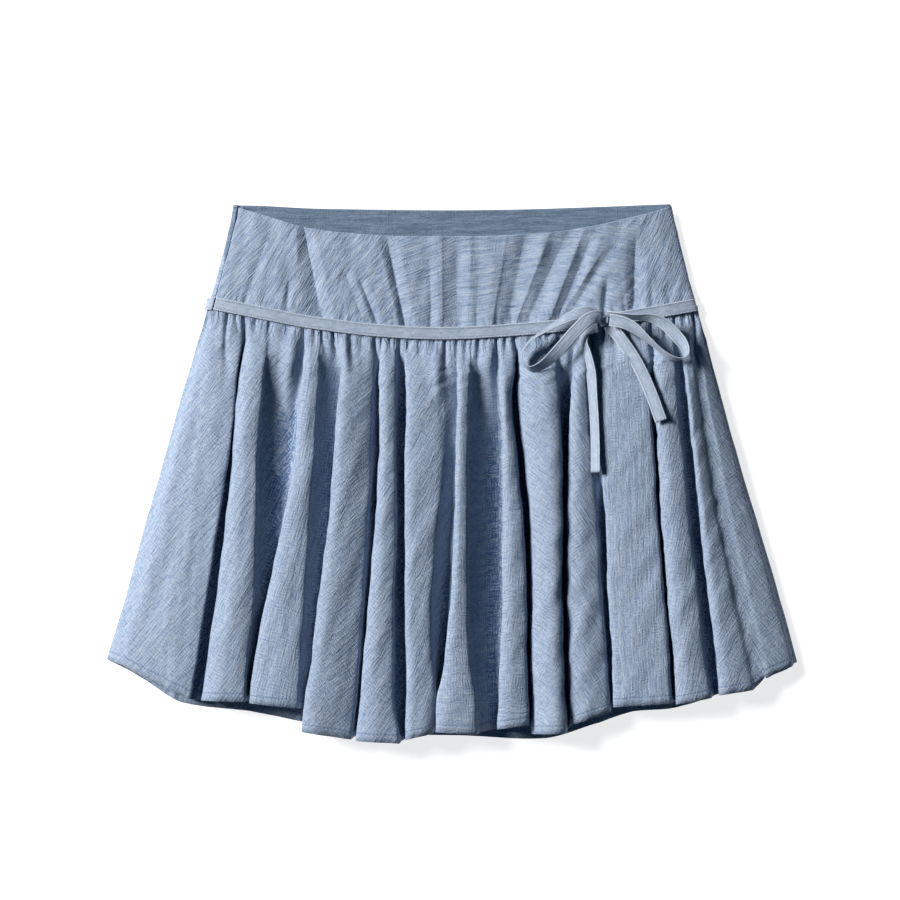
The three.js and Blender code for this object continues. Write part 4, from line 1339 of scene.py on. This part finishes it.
# %% The other materials
def flat_ribbon(name, light, dark, edge):
    s = Shader(name)
    along, over = s.place_on("cloth")
    rib = s.noise(along * 1.6, over * 0.3, 2.0, 1.0)
    # Slow ripples of the ribbon: the same noise raises them in the bump and paints their low parts
    # darker, as painted shade.
    ripple_and_shade = s.noise(along * 0.14, over * 0.40, 6.0, 3.0, 0.65)
    tone = s.between(rib, 0.3, 0.7) * 0.35 + s.between(ripple_and_shade, 0.33, 0.66) * 0.65
    place = s.node("ShaderNodeUVMap", {"uv_map": "over"})
    part = Value(s, s.node("ShaderNodeSeparateXYZ", None, {0: place.outputs["UV"]}).outputs["X"])
    beside = Value(s, s.node("ShaderNodeMath", {"operation": "ABSOLUTE"}, {0: part - 0.5}).outputs[0])
    selvedge = s.between(beside, 0.385, 0.42)
    # Painted shade: a thin line inside each edge bead is painted darker, as the shade of a groove.
    groove_shade = s.between(beside, 0.27, 0.31) * s.between(beside, 0.36, 0.40, 1.0, 0.0)
    shaded = s.colours(groove_shade * 0.40, s.colours(tone, dark, light), tuple(c * 0.55 for c in dark))
    s.bump(rib * 0.8 + ripple_and_shade * 4.5 + selvedge * 1.2, 0.16, 0.75)
    return s.finish({"Base Color": s.colours(selvedge * 0.6, shaded, edge), "Roughness": 0.6,
                     "Specular IOR Level": 0.3, "Sheen Weight": 0.12})


def plain_thread(name, colour, roughness=0.7):
    s = Shader(name)
    place = s.node("ShaderNodeTexCoord").outputs["Object"]
    fleck = s.node("ShaderNodeTexNoise", None, {"Vector": place, "Scale": 900.0, "Detail": 1.0})
    dark = tuple(c * 0.8 for c in colour)
    return s.finish({"Base Color": s.colours(fleck.outputs["Fac"], dark, colour),
                     "Roughness": roughness})


LIGHT_RIBBON, DARK_RIBBON = (0.372, 0.427, 0.515), (0.200, 0.258, 0.358)
RIBBON_EDGE = (0.43, 0.487, 0.578)
RIBBON = flat_ribbon("flat_ribbon", LIGHT_RIBBON, DARK_RIBBON, RIBBON_EDGE)
THREAD = plain_thread("thread", (0.26, 0.35, 0.53))
ZIP_TAPE = plain_thread("zip_tape_cloth", (0.20, 0.27, 0.42), 0.8)
for finish, names in ((COTTON, "front_tier back_tier"), (DRAWN_COTTON, "front_yoke back_yoke"),
                      (WRONG_SIDE_SHADED, "back_yoke"), (ZIP_TAPE, "zip_tape"),
                      (RIBBON, "seam_ribbon_front seam_ribbon_back loop_left loop_right "
                               "tail_left tail_right knot")):
    for name in names.split():
        pieces[name].data.materials.append(finish)
# The back yoke's upward faces right of its rolled left edge get the darker inside material, with its
# painted shade.
inside_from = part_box("yoke_back")[0][0] + 0.012
for face in back_yoke.data.polygons:
    if face.normal.z > 0.3 and face.center.x > inside_from:
        face.material_index = 1
print("pieces with a material:", sum(len(p.data.materials) > 0 for p in pieces.values()))

# %% [markdown]
# ## Rows of stitches and the coil of the zip
# The hem is turned up 6 mm and stitched along its upper edge. The ribbon is stitched down along
# both of its edges. The lines are read off the finished pieces and set just above their faces.


# %% Lines on the cloth
def line_on(points, distance, above=0.3):
    """The line on a grid of points that lies a given distance from its last row, in mm."""
    upward = points[::-1]
    from_end = running(steps(upward, 0))
    line = np.array([[np.interp(distance, from_end[:, i], upward[:, i, axis]) for axis in range(3)]
                     for i in range(points.shape[1])])
    side = np.gradient(line, axis=0)
    up = np.stack([-side[:, 2], 0 * side[:, 0], side[:, 0]], -1)
    up /= np.maximum(np.linalg.norm(up, axis=1), 1e-6)[:, None]
    return line + up * above


# Pitch, length, width and height of a thread.
HEM_THREAD = 3.0, 2.2, 0.45, 0.35
RIBBON_THREAD = 2.8, 2.0, 0.35, 0.22
COIL = 1.0, 0.7, 1.6, 0.6
hem_line_front = line_on(front_points, HEM_FOLD)[3:-3]
hem_line_back = line_on(back_tier_points, HEM_FOLD, -0.25)[3:-3]
ribbon_lines = [ribbon_points[row, 4:-4] + np.array([0, 0, 0.34]) for row in (1, -2)]
hem_stitches = thread_row("hem_stitches_front", [hem_line_front], HEM_THREAD, THREAD)
back_hem_stitches = thread_row("hem_stitches_back", [hem_line_back], HEM_THREAD, THREAD)
ribbon_stitches = thread_row("ribbon_stitches", ribbon_lines, RIBBON_THREAD, RIBBON)
zip_coil = thread_row("zip_coil", [slit_line], COIL, ZIP_TAPE)

# %% [markdown]
# ## Each piece rides on the body and stands for its solid
# Every piece rides on the one body and stands for its solid, which is hidden. The tiers are parts
# of a ring, so their cut is worked out as width, length and area, and printed beside the area
# measured on the mesh.

# %% Riding, replacing and the cut of the tiers
STANDS_FOR = {"front_tier": "skirt_front", "back_tier": "skirt_back", "front_yoke": "yoke_front",
              "back_yoke": "yoke_back", "seam_ribbon_front": "ribbon_front",
              "seam_ribbon_back": "ribbon_back", "zip_tape": "side_zip", "knot": "bow_knot",
              "loop_left": "bow_loop_left", "loop_right": "bow_loop_right",
              "tail_left": "bow_tail_left", "tail_right": "bow_tail_right"}
for name, piece in pieces.items():
    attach(piece, "root")
    if name in STANDS_FOR:
        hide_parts(STANDS_FOR[name])


def ring_cut(seam, hem, depth):
    """Bounding width and length, and area, of a part of a ring with these two arcs, in metres."""
    angle = (hem - seam) / depth
    inner, outer = seam / angle, hem / angle
    half = min(angle / 2, math.pi / 2)
    wide = 2 * outer * math.sin(half)
    long = outer - inner * math.cos(angle / 2)
    return wide * MM, long * MM, (outer**2 - inner**2) * angle / 2 * MM * MM


for piece, points, stitches in ((front_tier, front_points, hem_stitches),
                                (back_tier, back_tier_points, back_hem_stitches)):
    seam, hem, depth, area = cloth_size(points)
    wide, long, cut = ring_cut(seam, hem, depth)
    print(f"{piece.name}: cut {wide:.3f} x {long:.3f} m, {cut:.3f} m2, measured {area:.3f} m2")
for piece, points in ((front_yoke, yoke_points), (back_yoke, back_points)):
    waist, seam, depth, area = cloth_size(points)

# %% [markdown]
# ## Camera, surface and light
# The skirt is seen from straight above. A long lens far away keeps the tall folds from leaning
# outward. The light is one soft lamp low on the left, which makes the folds. The room adds only
# a weak blue light, so that the gaps stay dark, and the cloth paints them darker still as painted
# shade. The surface is plain and pale.

# %% Camera
scene = bpy.context.scene
VIEW_WIDTH = 0.6975
VIEW_DISTANCE = 4.0
CENTRE = (-0.0015, 0.0182)
lens = bpy.data.cameras.new("camera")
lens.sensor_width = 36
lens.lens = lens.sensor_width * VIEW_DISTANCE / VIEW_WIDTH
camera = bpy.data.objects.new("camera", lens)
camera.location = (*CENTRE, VIEW_DISTANCE)
scene.collection.objects.link(camera)
scene.camera = camera
print("lens, mm:", round(lens.lens, 1))

# %% Surface
PALE_GREY = (0.42, 0.42, 0.43, 1)
SURFACE_SIZE, SURFACE_DROP, SURFACE_GLOW = 8, 0.0002, 0.78
bpy.ops.mesh.primitive_plane_add(size=SURFACE_SIZE, location=(0, 0, -SURFACE_DROP))
floor = bpy.context.object
floor.name = "surface"
paint = Shader("pale_surface")
floor.data.materials.append(paint.finish({"Base Color": PALE_GREY, "Roughness": 0.9,
                                          "Emission Color": (1, 1, 1, 1),
                                          "Emission Strength": SURFACE_GLOW}))
print("surface:", floor.name)

# %% Light
KEY_PLACE = (-5.8, 2.7, 4.7)
KEY_SIZE, KEY_POWER = 2.6, 1262
WARM_WHITE = (1, 0.985, 0.955)
ROOM_BLUE, ROOM_STRENGTH = (0.18, 0.68, 1.15, 1), 0.047
light = bpy.data.lights.new("key", "AREA")
light.size = KEY_SIZE
light.energy = KEY_POWER
light.color = WARM_WHITE
key = bpy.data.objects.new("key", light)
key.location = KEY_PLACE
key.rotation_euler = (-Vector(KEY_PLACE)).to_track_quat("-Z", "Y").to_euler()
scene.collection.objects.link(key)
world = bpy.data.worlds.new("room")
world.use_nodes = True
room = world.node_tree.nodes["Background"]
room.inputs["Color"].default_value = ROOM_BLUE
room.inputs["Strength"].default_value = ROOM_STRENGTH
scene.world = world
scene.view_settings.view_transform = "Standard"
print("key lamp at, m:", KEY_PLACE)
